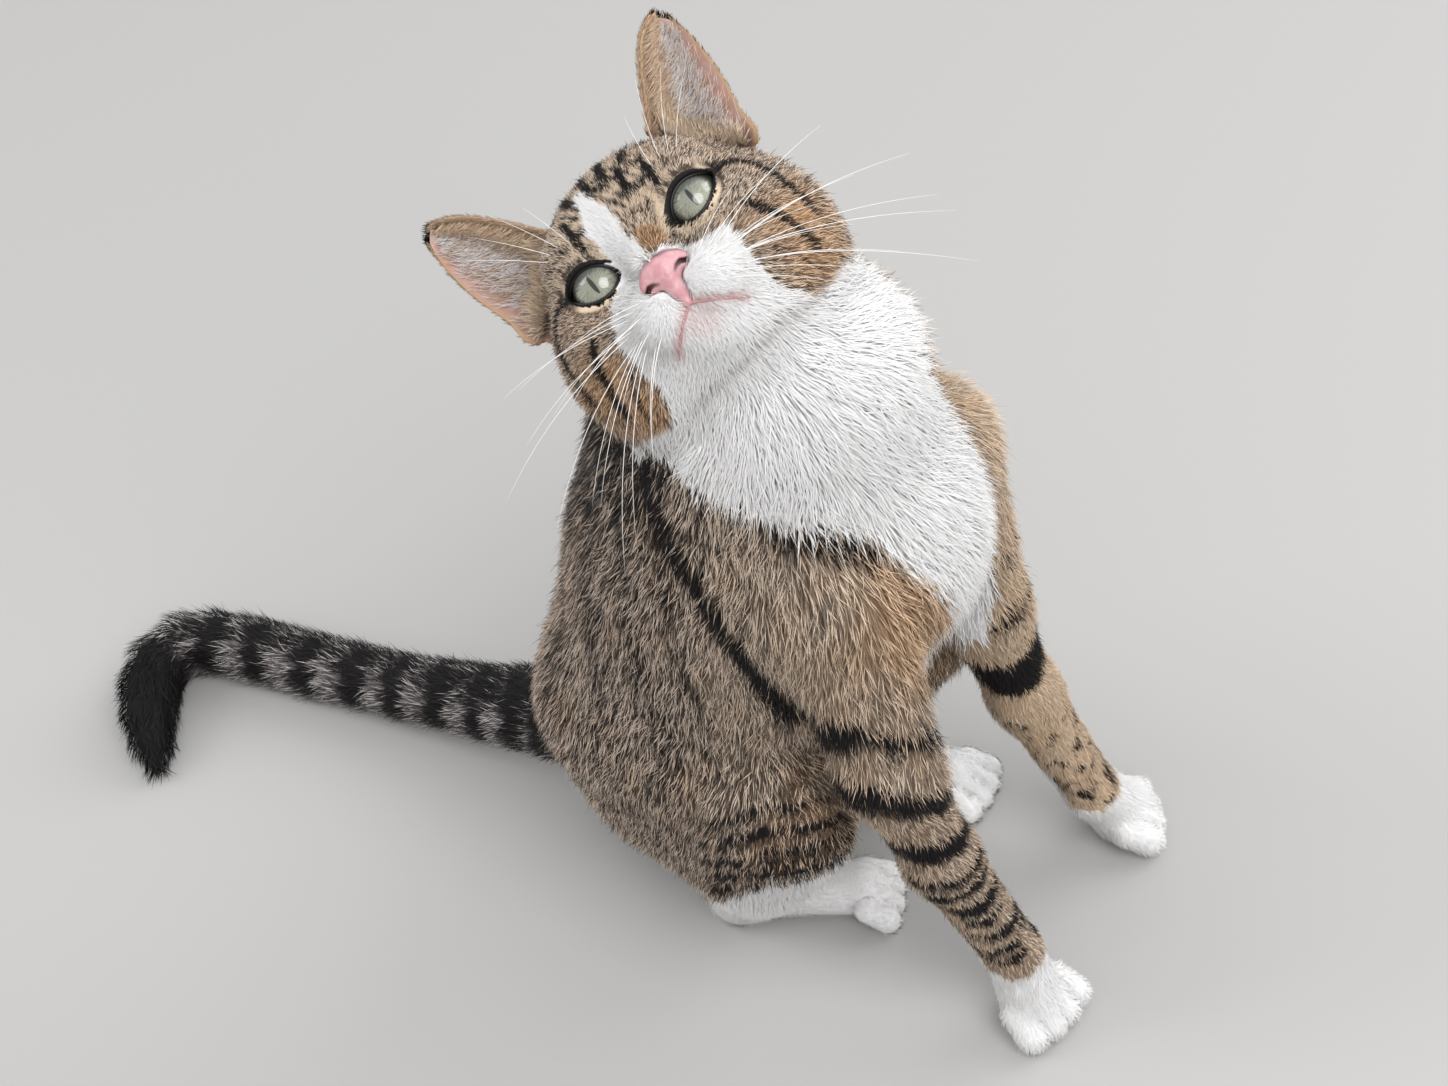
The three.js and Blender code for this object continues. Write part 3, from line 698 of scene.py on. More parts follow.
def dark_marks(p, h, share):
    x, y, z = p.T
    uneven = ripple(p, 14, 21)
    fine = ripple(p, 6, 22)
    total = share["head"] * face_lines(h)
    # trunk: a dark line down each flank, one under the bib, faint long stripes behind
    flank = [[-52, 134, 318], [-56, 127, 298], [-63, 121, 279], [-70, 108, 257], [-72, 95, 229],
             [-67, 87, 198], [-63, 83, 177], [-67, 70, 175], [-75, 53, 187]]
    ending = [[-63, 84, 181], [-67, 71, 180], [-76, 52, 191]]
    line = np.zeros(len(p))
    for s in SIDES:
        flatter = [[q[0] * 0.5, *q[1:]] for q in mirrored(flank, -s)]
        line = most(line, stroke(p * [0.5, 1, 1], flatter, 4.2 + 0.8 * fine, 3.4),
                    stroke(p, mirrored(ending, -s), 6.5 + fine, 3))
    below = z - 262 - 0.86 * np.clip(-32 - x, -4, 27) + 1.5 * uneven
    under = 1 - fade(np.abs(below + 4.5), 3.6, 5.6)
    under = under * fade(-x, 30, 36) * fade(x, -62, -56) * fade(-y, -84, -76)
    around = np.arctan2(np.abs(x), y - 92) * 62
    bars = fade(np.cos(2 * math.pi * (around + 4 * uneven + 0.05 * z) / 17), -0.1, 0.8)
    behind = fade(y + 0.15 * (z - 180), 96, 128) * fade(z, 50, 90)
    spine = fade(np.abs(x) - 3 * uneven, 26, 6) * fade(y, 140, 170)
    saddle = fade(z + 0.6 * (y - 150), 225, 285) * fade(y, 100, 130)
    shoulder = rings(z + 0.35 * (x + 40) + 3 * uneven, (228, 212), 1.6, 2.4) * fade(-y, -60, -40)
    body = most(bars * behind * (0.48 + 0.3 * fade(fine, -0.3, 0.8)), 0.75 * spine,
                saddle * (0.66 + 0.3 * fine), 0.35 * shoulder)
    total = total + share["trunk"] * body
    # the bands of the forelegs, and the stripes of the haunches
    for s, name in NAMED_SIDES:
        out = s * x
        total = total + share["arm_" + name] * foreleg_bands(p, s, uneven)
        c = z + 0.6 * (np.maximum(y, 95) - 110) + 0.2 * np.minimum(y - 95, 0) - 0.5 * (out - 88) + uneven
        low = rings(c, (88, 98.5, 109.3, 121.3, 134, 147), 3.0, 1.0) * fade(-c, -160, -122)
        low = low * fade(ripple(p, 26, 26) + 0.8, -0.2, 0.2) * fade(out, 50, 60)
        low = low * (1 - 0.6 * fade(y, 118, 142))
        hair_bars = bars * behind * 0.4
        total = total + share["leg_" + name] * np.maximum(low, hair_bars * fade(c, 126, 156))
    total = total + share["tail"] * tail_rings(p, uneven, fine)
    drawn = np.maximum(line, 0.9 * under) * (1 - share["head"])
    return np.clip(np.maximum(total, drawn), 0, 1)


def marks(p):
    """White, dark, warm, grey, then cream (in part painted light), pink, tail and a spare one, for places on
    the body.
    """
    h, share = in_head(p), part_nearness(p)
    _, y, z = p.T
    hx, hy, hz = h.T
    white = white_area(p, h, share)
    dark = dark_marks(p, h, share)
    uneven = ripple(p, 22, 31)
    cheeks = fade(np.abs(hx), 28, 40) * fade(-hz, 8, 28) * 0.85 * fade(-hy, -36, -14)
    bridge = egg_mask(h * [1, 1, 1.35], [4.2, -12.6, -4.4], 9.0, 3.0)
    warm_head = most(cheeks, bridge, 0.6 * egg_mask(h, [6, -8, -48], 7, 7))
    dark = np.maximum(dark, 0.4 * bridge * share["head"])
    shoulder = fade(-(np.linalg.norm((p - [-34, 26, 232]) / [1, 1, 0.9], axis=1)), -52, -22)
    warm = share["head"] * warm_head + share["trunk"] * 0.75 * shoulder
    warm = warm + share["arm_right"] * (0.6 * shoulder + 0.12)
    warm = warm + share["arm_left"] * 0.52
    warm = warm + both(share, "leg") * 0.3 * fade(-y, -110, -70)
    warm = np.clip(warm + 0.18 * uneven, 0, 1)
    back = fade(y + 0.2 * (z - 200), 84, 140)
    grey = share["trunk"] * (0.25 + 0.75 * back) + share["tail"]
    grey = grey + share["head"] * (0.2 + 0.45 * fade(hy, 10, 40))
    grey = grey + both(share, "leg") * (0.15 + 0.65 * back)
    grey = grey + both(share, "arm") * 0.15
    cream, pink = np.zeros(len(p)), np.zeros(len(p))
    for s in SIDES:
        gap = opening(h, s)
        front = fade(-hy, -16, -10)
        ring = fade(-gap, -4.8, -2.4) * fade(-hz - 0.35 * s * (hx - s * PUPIL_OUT), -5, 1) * front
        inner = stroke(h, mirrored([[12.8, -3.4, 2], [14.5, -2.6, 10]], s), 1.9, 2.4)
        over = 0.8 * stroke(h, mirrored([[36, 2, 6], [30, 1, 13], [22, 0, 15]], s), 1.6, 3)
        cream = most(cream, ring, inner, over)
        dark = np.maximum(dark, fade(-gap, -1.5, -1.0) * front * share["head"])
        lip = along(h, mirrored(MOUTH, s))[0]
        pink = np.maximum(pink, 0.5 * fade(-lip, -3.2, -1.0))
    pink = np.maximum(pink, 0.34 * egg_mask(h, [0, -14, -38], 8, 7))
    between = fade(-mottle(h), 0.0, 0.5) * fade(hz, 0, 8) * fade(-np.abs(hx), -30, -22)
    cream = np.maximum(cream, 0.8 * between * fade(-hy, -40, -20))
    # painted light: cream on the lower trunk and the right arm lightens them where the lamps leave them
    # darker; the left arm's cream is its own colour
    low_trunk = share["trunk"] * fade(-z, -250, -210) * fade(-y, -130, -105)
    paler_and_painted_light = 0.6 * share["arm_left"] + 0.28 * share["arm_right"] + 0.16 * low_trunk
    cream = np.clip(cream * share["head"] + paler_and_painted_light, 0, 1)
    return np.stack([white, dark, warm, np.clip(grey, 0, 1)], 1), \
        np.stack([cream, pink * share["head"], share["tail"], np.ones(len(p))], 1)


def egg_mask(h, centre, r, soft):
    return fade(-np.linalg.norm(h - np.array(centre), axis=1), -r - soft * 0.5, -r + soft * 0.5)


# ---- the lie of the coat ---------------------------------------------------------------
def unit(v):
    return v / np.maximum(np.linalg.norm(v, axis=1), 1e-9)[:, None]


def lie(p, normal):
    """Which way the coat lies: from the nose back over the head, then down and to the tips."""
    h, share = in_head(p), part_nearness(p)
    _, y, z = p.T
    down = np.tile([0.0, 0.22, -1.0], (len(p), 1))
    down[:, 1] += 0.5 * fade(-z, -110, -60)
    from_chin = unit(p - CHIN)
    front = (fade(-y, -110, -60) * fade(z, 150, 220))[:, None]
    trunk = unit(down * (1 - 0.7 * front) + from_chin * 0.9 * front)
    away = unit(h - [0, -12, -16]) + [0, 0.75, 0]
    away[:, 2] -= 0.5 * fade(-h[:, 2], 20, 45)
    for s in SIDES:
        near = fade(-opening(h, s), -6, -1)[:, None] * fade(-h[:, 1], -14, -8)[:, None]
        away = away * (1 - 0.92 * near) + unit(h - [s * PUPIL_OUT, 6, 0]) * 0.92 * near
    head = unit(away) @ HEAD_WAYS.T
    total = trunk * share["trunk"][:, None] + head * share["head"][:, None]
    total += along(p, TAIL, True)[3] * share["tail"][:, None]
    for s, name in NAMED_SIDES:
        total += along(p, arm_line(s), True)[3] * share["arm_" + name][:, None]
        foot = along(p, leg_line(s)[2:], True)[3]
        low = fade(-z, -44, -26)[:, None]
        over = fade(normal[:, 2], 0.1, 0.7)[:, None] * (1 - low)
        thigh = np.array([0, 0.12, -1.0]) * (1 - over) + np.array([s * 0.7, -0.35, -0.6]) * over
        total += (foot * low + thigh * (1 - low)) * share["leg_" + name][:, None]
    total -= normal * (total * normal).sum(1)[:, None]
    total = unit(total)
    swing = 0.26 * ripple(p, 13, 41) + 0.2 * ripple(p, 30, 42)
    return unit(total + np.cross(normal, total) * swing[:, None])


# ---- the coat: thin closed tufts, joined into a few meshes ------------------------------
def blades(root, out, way, long, wide, high, sway, stations):
    """Corners of many tufts at once: a foot, a three-cornered ring at each station, a tip."""
    count, rows = len(root), len(stations)
    side = np.cross(out, way)
    corner = np.zeros((count, 3 * rows + 2, 3))

    def centre(t):
        rise = high * (1 - (1 - t) ** 1.9) - 0.5 * (1 - t)
        ahead = root + way * (long * t)[:, None] * 0.97 + out * rise[:, None]
        return ahead + side * (sway * long * t * t)[:, None]
    whole = np.ones(count)
    corner[:, 0] = centre(whole * 0)
    corner[:, -1] = centre(whole)
    for i, (t, w) in enumerate(stations):
        middle = centre(whole * t)
        half = (wide * w * 0.5)[:, None]
        corner[:, 1 + 3 * i] = middle + side * half
        corner[:, 2 + 3 * i] = middle + out * half * 0.45
        corner[:, 3 + 3 * i] = middle - side * half
    return corner


def blade_faces(rows):
    faces = []
    for k in range(3):
        faces.append((0, 1 + (k + 1) % 3, 1 + k))
    for i in range(rows - 1):
        a, b = 1 + 3 * i, 4 + 3 * i
        for k in range(3):
            n = (k + 1) % 3
            faces.append((a + k, a + n, b + n))
            faces.append((a + k, b + n, b + k))
    last = 1 + 3 * (rows - 1)
    for k in range(3):
        faces.append((last + k, last + (k + 1) % 3, 3 * rows + 1))
    return np.array(faces)


def blade_map(stations):
    """Each corner's place across and along its own small patch, and along the tuft."""
    place = [(0.5, 0.0)]
    for t, _ in stations:
        place += [(0.1, t), (0.5, t), (0.9, t)]
    place.append((0.5, 1.0))
    return np.array(place)


def big_mesh(name, corner, faces, material):
    """Joins the same small shape, repeated, into one mesh."""
    count, per = corner.shape[:2]
    flat = corner.reshape(-1, 3)
    tris = (faces[None] + (np.arange(count) * per)[:, None, None]).reshape(-1, 3)
    mesh = bpy.data.meshes.new(name)
    mesh.vertices.add(len(flat))
    mesh.vertices.foreach_set("co", to_model(flat).astype(np.float32).ravel())
    mesh.loops.add(len(tris) * 3)
    mesh.loops.foreach_set("vertex_index", tris.astype(np.int32).ravel())
    mesh.polygons.add(len(tris))
    mesh.polygons.foreach_set("loop_start", np.arange(0, len(tris) * 3, 3, dtype=np.int32))
    mesh.update(calc_edges=True)
    mesh.shade_smooth()
    mesh.materials.append(material)
    return placed(name, mesh), tris


def add_colour(mesh, name, values):
    layer = mesh.attributes.new(name, "FLOAT_COLOR", "POINT")
    layer.data.foreach_set("color", np.asarray(values, np.float32).ravel())


TURNED, LEANING = 0.21, 0.3                     # how unevenly the tufts turn and lean
STRAYING, KEEPING = 0.06, 0.1                   # how many stand off, or keep their root's colour
PATCH = 0.003                                   # a tuft's own patch of the unwrap
FINE = ((0.42, 1.0),)                           # where a tuft's rings sit, and how broad they are
LONG = ((0.3, 1.0), (0.68, 0.78))


def add_strands(piece, tris, uv, stations, dice):
    """Each tuft's length, tone and speck, and its patch at its root's place on the unwrap."""
    own, count = blade_map(stations), len(uv)
    strand = np.ones((count, len(own), 4))
    strand[:, :, 0] = own[:, 1]
    strand[:, :, 1] = dice.uniform(0, 1, count)[:, None]
    strand[:, :, 2] = dice.uniform(0, 1, count)[:, None]
    add_colour(piece.data, "strand", strand.reshape(-1, 4))
    place = np.clip(uv[:, None] + (own[None] - [0.5, 0.5]) * PATCH, 0.001, 0.999)
    layer = piece.data.uv_layers.new(name="OFBake")
    layer.data.foreach_set("uv", place.reshape(-1, 2)[tris.ravel()].astype(np.float32).ravel())


def make_coat(name, root, out, way, long, wide, high, uv, material, stations, seed):
    dice = np.random.default_rng(seed)
    count = len(root)
    turn = dice.normal(0, TURNED, count)[:, None]
    way = unit(way + np.cross(out, way) * turn)
    smooth = 1 - 0.65 * marks(root + way * (0.6 * long)[:, None])[0][:, :1]
    lean = dice.normal(0, LEANING, count)[:, None] * smooth
    out_turned = unit(out + np.cross(out, way) * lean)
    stray = dice.uniform(0, 1, count) < STRAYING
    rise = high * dice.uniform(0.72, 1.08, count) * np.where(stray, 1.35, 1) + np.where(stray, 0.8, 0)
    corner = blades(root, out_turned, way, long * dice.uniform(0.75, 1.2, count),
                    wide * dice.uniform(0.7, 1.3, count) * np.where(stray, 0.6, 1),
                    rise, dice.normal(0, 0.1, count), stations)
    corner[:, :, 2] = np.maximum(corner[:, :, 2], 0.15)
    piece, tris = big_mesh(name, corner, blade_faces(len(stations)), material)
    height = np.maximum(high, 1.0)[:, None]
    keeps = (dice.uniform(0, 1, count) < KEEPING)[:, None]
    steps = [t for t, _ in stations] + [1.0]
    astray = dice.normal(0, 1, (count, 3)) * (0.2 + 0.05 * long)[:, None]
    start = root + out * height + astray
    values = [marks(start + way * (np.where(keeps, 0.3, t) * long[:, None])) for t in steps]
    for k, layer_name in enumerate(("coat_marks", "coat_more")):
        each = [values[0][k]] + [v[k] for v in values[:-1] for _ in range(3)] + [values[-1][k]]
        add_colour(piece.data, layer_name, np.stack(each, 1).reshape(-1, 4))
    facing = np.repeat(out_turned[:, None], corner.shape[1], 1)
    side = np.cross(out_turned, way)
    for i in range(len(stations)):
        facing[:, 1 + 3 * i] += side * 0.55 * smooth
        facing[:, 3 + 3 * i] -= side * 0.55 * smooth
    facing[:, -1] += way * 0.25
    piece.data.normals_split_custom_set_from_vertices(unit(facing.reshape(-1, 3)))
    add_strands(piece, tris, uv, stations, dice)
    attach(piece, "root")


def skin_roots(mesh, density, seed):
    """Scatters tuft roots over the skin, so many to each square millimetre."""
    dice = np.random.default_rng(seed)
    mesh.calc_loop_triangles()
    tri = np.empty(len(mesh.loop_triangles) * 3, np.int32)
    mesh.loop_triangles.foreach_get("vertices", tri)
    tri = tri.reshape(-1, 3)
    spots, normals = places_of(mesh), of_corners(mesh, "normal")
    a, b, c = (spots[tri[:, i]] for i in range(3))
    area = np.linalg.norm(np.cross(b - a, c - a), axis=1) / 2
    share = area * density((a + b + c) / 3)
    total = np.cumsum(share)
    count = int(total[-1])
    pick = np.searchsorted(total, (np.arange(count) + dice.uniform(0, 1, count)) * total[-1] / count)
    pick = np.minimum(pick, len(tri) - 1)
    u, v = dice.uniform(0, 1, (2, count))
    flip = u + v > 1
    u[flip], v[flip] = 1 - u[flip], 1 - v[flip]
    w = 1 - u - v
    t = tri[pick]

    def between(of):
        return of[t[:, 0]] * w[:, None] + of[t[:, 1]] * u[:, None] + of[t[:, 2]] * v[:, None]
    return between(spots), unit(between(normals))


def bare(p):
    """Where no coat grows: the eyes' openings, the nose leather, the lips and the soles."""
    h = in_head(p)
    front = h[:, 1] < 16
    none = p[:, 2] < 1.2
    for s in SIDES:
        none |= front & (opening(h, s) < np.where(h[:, 2] < -1, 2.0, 1.3))
        none |= along(h, mirrored(MOUTH, s))[0] < 1.1
    none |= nose_form(h) < 0.25
    return none


def tuft_size(p):
    """Depth, length and breadth of the tufts, and how thickly they stand."""
    share = part_nearness(p)
    x, y, z = p.T
    limbs = share["arm_left"] + share["arm_right"] + share["leg_left"] + share["leg_right"]
    depth = coat_depth(p) / np.maximum(fade(z, -6, 14), 0.35)
    long = np.clip(depth * 2.1, 3.0, 18)
    long = np.maximum(long, limbs * (6.2 - 2.2 * fade(-z, -38, -26)))
    haunch = both(share, "leg") * fade(-z, -150, -130)
    long = np.maximum(long * (1 - 0.4 * haunch), 3.0)
    breast = share["trunk"] * fade(-y, -105, -85) * fade(z, 150, 190)
    wide = (0.22 + 0.025 * long) * (1 - 0.22 * breast)
    cover = 1 + 0.25 * breast - 0.42 * limbs - 0.25 * limbs * fade(-z, -46, -36) - 0.5 * share["tail"]
    cover = cover * (1 - 0.6 * fade(-np.abs(x), -40, -30) * limbs) * (1 - 0.35 * haunch)
    face = share["head"] * fade(-in_head(p)[:, 1], -30, -16)
    return depth * (1 + 0.3 * face), long, wide * (1 - 0.12 * face), cover * (1 - 0.2 * face)


COVER = 2.75                                    # how many tufts lie over any one place
THIN = 1.0
TUFT_FACES, PIECE_FACES = 6, 195000             # in one tuft, and the most in one piece


def tuft_density(p):
    _, long, wide, cover = tuft_size(p)
    return THIN * COVER * cover / (wide * long * 0.55) * ~bare(p)


def unwrapped(p, part):
    """A part's skin rolled out flat: round its own line one way, along it the other."""
    if part in ("face", "head"):
        h = in_head(p) - [0, 30, -8]
        round_it = np.arctan2(h[:, 0], h[:, 1]) if part == "head" else np.arctan2(h[:, 0], -h[:, 1])
        far = np.arctan2(h[:, 2], np.hypot(h[:, 0], h[:, 1]))
    elif part == "tail":
        _, far, middle, way = along(p, TAIL, True)
        off = p - middle
        side = unit(np.cross(way, [0, 0, 1.0]))
        round_it = np.arctan2((off * side).sum(1), off[:, 2])
    elif part.startswith("arm") or part.startswith("leg"):
        s = 1 if part.endswith("left") else -1
        line = arm_line(s) if part.startswith("arm") else leg_line(s)
        _, far, middle, way = along(p, line, True)
        off = p - middle
        side = unit(np.cross(way, [0, 1.0, 0.2]))
        ahead = np.cross(side, way)
        round_it = np.arctan2((off * side).sum(1), -(off * ahead).sum(1))
    else:
        off = p - [0, 110, 0]
        round_it = np.arctan2(off[:, 0], off[:, 1] if part != "bib" else -off[:, 1])
        far = p[:, 2]
    place = np.stack([round_it, far], 1)
    low, high = place.min(0), place.max(0)
    return 0.01 + 0.98 * (place - low) / np.maximum(high - low, 1e-6)


def coat_parts(p):
    share = part_nearness(p)
    names = np.array(list(share))
    best = names[np.argmax(np.stack(list(share.values())), axis=0)]
    h = in_head(p)
    part = best.astype(object)
    part[(best == "head") & (h[:, 1] < 20)] = "face"
    trunk = best == "trunk"
    part[trunk & (p[:, 0] >= 0)] = "flank_left"
    part[trunk & (p[:, 0] < 0)] = "flank_right"
    white = marks(p)[0][:, 0] > 0.5
    part[trunk & white & (p[:, 1] < 120)] = "bib"
    return part


def make_all_coats(skin, material):
    root, out = skin_roots(skin.data, tuft_density, 7)
    depth, long, wide, _ = tuft_size(root)
    part = coat_parts(root)
    way = lie(root, out)
    for name in sorted(set(part)):
        mine = part == name
        uv = unwrapped(root[mine], name)
        order = np.argsort(uv[:, 1], kind="stable")
        parts = max(1, math.ceil(len(order) * TUFT_FACES / PIECE_FACES))
        for i, chunk in enumerate(np.array_split(order, parts)):
            pick = np.flatnonzero(mine)[chunk]
            label = "coat_" + name + (f"_{i + 1}" if parts > 1 else "")
            make_coat(label, root[pick], out[pick], way[pick], long[pick], wide[pick],
                      depth[pick], uv[chunk], material, FINE, 100 + len(label) + i)


# ---- materials -------------------------------------------------------------------------
class Nodes:
    """A few short ways to lay out a node tree."""

    def __init__(self, tree):
        self.tree = tree

    def add(self, kind, **settings):
        node = self.tree.nodes.new(kind)
        for key, value in settings.items():
            setattr(node, key, value)
        return node

    def put(self, socket, value):
        if isinstance(value, bpy.types.NodeSocket):
            self.tree.links.new(value, socket)
        elif isinstance(value, (tuple, list)) and len(value) == 3 and socket.type == "RGBA":
            socket.default_value = (*value, 1)
        else:
            socket.default_value = value

    def math(self, kind, *values):
        node = self.add("ShaderNodeMath", operation=kind)
        for socket, value in zip(node.inputs, values):
            self.put(socket, value)
        return node.outputs[0]

    def times(self, a, b):
        return self.math("MULTIPLY", a, b)

    def mix(self, amount, a, b):
        node = self.add("ShaderNodeMix", data_type="RGBA")
        self.put(node.inputs[0], amount)
        self.put(node.inputs[6], a)
        self.put(node.inputs[7], b)
        return node.outputs[2]

    def ease(self, value, low, high, start=0.0, end=1.0):
        node = self.add("ShaderNodeMapRange", interpolation_type="SMOOTHSTEP")
        for socket, v in zip(node.inputs, (value, low, high, start, end)):
            self.put(socket, v)
        return node.outputs[0]

    def noise(self, where, scale, detail=2.0):
        node = self.add("ShaderNodeTexNoise")
        self.put(node.inputs["Vector"], where)
        self.put(node.inputs["Scale"], scale)
        self.put(node.inputs["Detail"], detail)
        return node.outputs["Fac"]

    def channels(self, name):
        """The three numbers and the fourth of a colour kept on the corners."""
        kept = self.add("ShaderNodeAttribute", attribute_name=name)
        split = self.add("ShaderNodeSeparateColor")
        self.put(split.inputs[0], kept.outputs["Color"])
        return *split.outputs, kept.outputs["Alpha"]

    def bump(self, height, strength, distance):
        node = self.add("ShaderNodeBump")
        self.put(node.inputs["Height"], height)
        self.put(node.inputs["Strength"], strength)
        self.put(node.inputs["Distance"], distance)
        return node.outputs[0]

    def group(self, tree, **values):
        node = self.add("ShaderNodeGroup")
        node.node_tree = tree
        for key, value in values.items():
            self.put(node.inputs[key.replace("_", " ")], value)
        return node.outputs


COLOURS = {
    "light hair": (0.68, 0.54, 0.42), "light hair of the back": (0.64, 0.515, 0.42),
    "dark hair": (0.065, 0.048, 0.037), "dark hair of the back": (0.028, 0.023, 0.020),
    "warm hair": (0.64, 0.41, 0.235), "warm shade": (0.22, 0.12, 0.06),
    "grey hair": (0.50, 0.465, 0.45), "grey shade": (0.10, 0.09, 0.088),
    "black hair": (0.005, 0.0045, 0.005), "black sheen": (0.014, 0.012, 0.012),
    "cream hair": (0.74, 0.59, 0.43), "white hair": (0.80, 0.795, 0.795),
    "white shade": (0.74, 0.73, 0.725), "pink skin": (0.62, 0.27, 0.25),
    "lid rims": (0.006, 0.0045, 0.0045), "lips": (0.40, 0.20, 0.20),
    "whisker hair": (0.82, 0.81, 0.79),
}


def coat_colour_group():
    tree = bpy.data.node_groups.new("coat colour", "ShaderNodeTree")
    names = ("White", "Dark", "Warm", "Grey", "Cream", "Pink", "Tail", "Along", "Tone", "Speck")
    for name in names:
        tree.interface.new_socket(name=name, in_out="INPUT", socket_type="NodeSocketFloat")
    tree.interface.new_socket(name="Colour", in_out="OUTPUT", socket_type="NodeSocketColor")
    n = Nodes(tree)
    given = n.add("NodeGroupInput").outputs
    c = COLOURS
    light = n.mix(given["Grey"], c["light hair"], c["light hair of the back"])
    for mark, hair in (("Warm", "warm hair"), ("Cream", "cream hair"), ("Tail", "grey hair")):
        light = n.mix(given[mark], light, c[hair])
    deep = n.mix(given["Grey"], c["dark hair"], c["dark hair of the back"])
    for mark, hair in (("Warm", "warm shade"), ("Tail", "grey shade")):
        deep = n.mix(given[mark], deep, c[hair])
    rise = n.ease(given["Along"], 0.3, 0.72)
    tipped = n.ease(given["Along"], 0.88, 1.0, 1.0, 0.35)
    amount = n.times(n.times(rise, tipped), n.ease(given["Tone"], 0.24, 0.58))
    amount = n.math("MAXIMUM", amount, n.times(given["Cream"], 0.92))
    ground = n.mix(amount, deep, light)
    black = n.mix(given["Tone"], c["black hair"], c["black sheen"])
    edge = n.math("ADD", given["Dark"], n.times(n.math("SUBTRACT", given["Speck"], 0.5), 0.5))
    ground = n.mix(n.ease(edge, 0.3, 0.7), ground, black)
    pale = n.mix(n.ease(given["Tone"], 0.0, 0.4, 1.0, 0.0), c["white hair"], c["white shade"])
    ground = n.mix(n.ease(given["White"], 0.35, 0.65), ground, pale)
    ground = n.mix(n.times(given["Pink"], 0.8), ground, c["pink skin"])
    n.put(n.add("NodeGroupOutput").inputs["Colour"], ground)
    return tree


COAT_COLOUR = coat_colour_group()


def marks_from(n):
    names = ("White", "Dark", "Warm", "Grey", "Cream", "Pink", "Tail")
    return dict(zip(names, n.channels("coat_marks") + n.channels("coat_more")))


def new_material(name, rough, specular, coat=0.0, coat_rough=0.03):
    material = bpy.data.materials.new(name)
    material.use_nodes = True
    n = Nodes(material.node_tree)
    shader = material.node_tree.nodes["Principled BSDF"]
    shader.inputs["Roughness"].default_value = rough
    shader.inputs["Specular IOR Level"].default_value = specular
    shader.inputs["Coat Weight"].default_value = coat
    shader.inputs["Coat Roughness"].default_value = coat_rough
    return material, n, shader


def plain_material(name, rough, specular):
    material, n, shader = new_material(name, rough, specular)
    n.put(shader.inputs["Base Color"], COLOURS[name])
    return material


def coat_material():
    material, n, shader = new_material("coat hair", 0.66, 0.16)
    length, tone, speck, _ = n.channels("strand")
    colour = n.group(COAT_COLOUR, **marks_from(n), Along=length, Tone=tone, Speck=speck)[0]
    n.put(shader.inputs["Base Color"], colour)
    return material


def skin_material():
    material, n, shader = new_material("short under-coat", 0.7, 0.2)
    where = n.add("ShaderNodeTexCoord").outputs["Object"]
    tone = n.noise(where, 900.0, 2.0)
    colour = n.group(COAT_COLOUR, **marks_from(n), Along=0.42, Tone=n.ease(tone, 0.35, 0.7),
                     Speck=n.noise(where, 700.0, 1.0))[0]
    n.put(shader.inputs["Base Color"], colour)
    n.put(shader.inputs["Normal"], n.bump(tone, 0.25, 0.0006))
    return material


# ---- eyes, lids, nose ------------------------------------------------------------------
def head_to_model(h):
    return to_model(from_head(h))


def eye_material():
    material, n, shader = new_material("iris and pupil", 0.25, 0.5, 1.0, 0.02)
    place = n.add("ShaderNodeAttribute", attribute_name="eye_place").outputs["Vector"]
    split = n.add("ShaderNodeSeparateXYZ")
    n.put(split.inputs[0], place)
    x, z = split.outputs[0], split.outputs[2]
    r = n.math("SQRT", n.math("ADD", n.times(x, x), n.times(z, z)))
    turn = n.math("ARCTAN2", z, x)
    spoke = n.add("ShaderNodeCombineXYZ")
    n.put(spoke.inputs[0], n.times(n.math("COSINE", turn), 9.0))
    n.put(spoke.inputs[1], n.times(n.math("SINE", turn), 9.0))
    n.put(spoke.inputs[2], n.times(r, 0.22))
    fibres = n.noise(spoke.outputs[0], 1.9, 3.0)
    iris = n.mix(n.ease(r, 1.0, 8.0), (0.245, 0.25, 0.185), (0.345, 0.345, 0.28))
    iris = n.mix(n.ease(fibres, 0.4, 0.7), iris, (0.13, 0.145, 0.105))
    # painted shade: the iris darkens towards its top, as under the upper lid
    iris = n.mix(n.ease(z, 0.0, 6.5, 0.0, 0.7), iris, (0.07, 0.085, 0.085))
    iris = n.mix(n.ease(r, 6.6, 9.2), iris, (0.035, 0.036, 0.028))
    rise = n.math("DIVIDE", z, 3.9)
    slit = n.math("SUBTRACT", 1.0, n.times(rise, rise))
    slit = n.times(n.math("SQRT", n.math("MAXIMUM", slit, 0.0)), 0.95)
    gap = n.math("SUBTRACT", n.math("ABSOLUTE", x), slit)
    iris = n.mix(n.ease(gap, -0.25, 0.15, 1.0, 0.0), iris, (0.004, 0.005, 0.006))
    n.put(shader.inputs["Base Color"], iris)
    return material


def make_eye(s, material):
    rows, columns = 24, 40
    places = [[0, -1, 0]]
    for i in range(1, rows):
        a = math.pi * i / rows
        for j in range(columns):
            t = 2 * math.pi * j / columns
            places.append([math.sin(a) * math.cos(t), -math.cos(a), math.sin(a) * math.sin(t)])
    places.append([0, 1, 0])
    faces = [(0, 1 + (j + 1) % columns, 1 + j) for j in range(columns)]
    faces += strips(rows - 1, columns, 1)
    end = len(places) - 1
    faces += [(end, end - columns + j, end - columns + (j + 1) % columns) for j in range(columns)]
    way = np.array(places) * EYE_RADIUS
    bulge = fade(-way[:, 1], 5.5, EYE_RADIUS)[:, None] * [0, -0.5, 0]
    name = "eye_left" if s > 0 else "eye_right"
    piece = new_piece(name + "_ball", head_to_model(way + bulge + eye_centre(s)), faces, material)
    spot = piece.data.attributes.new("eye_place", "FLOAT_VECTOR", "POINT")
    spot.data.foreach_set("vector", (way - [s * 0.9, 0, 0]).astype(np.float32).ravel())
    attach(piece, "root")
    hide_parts(name)


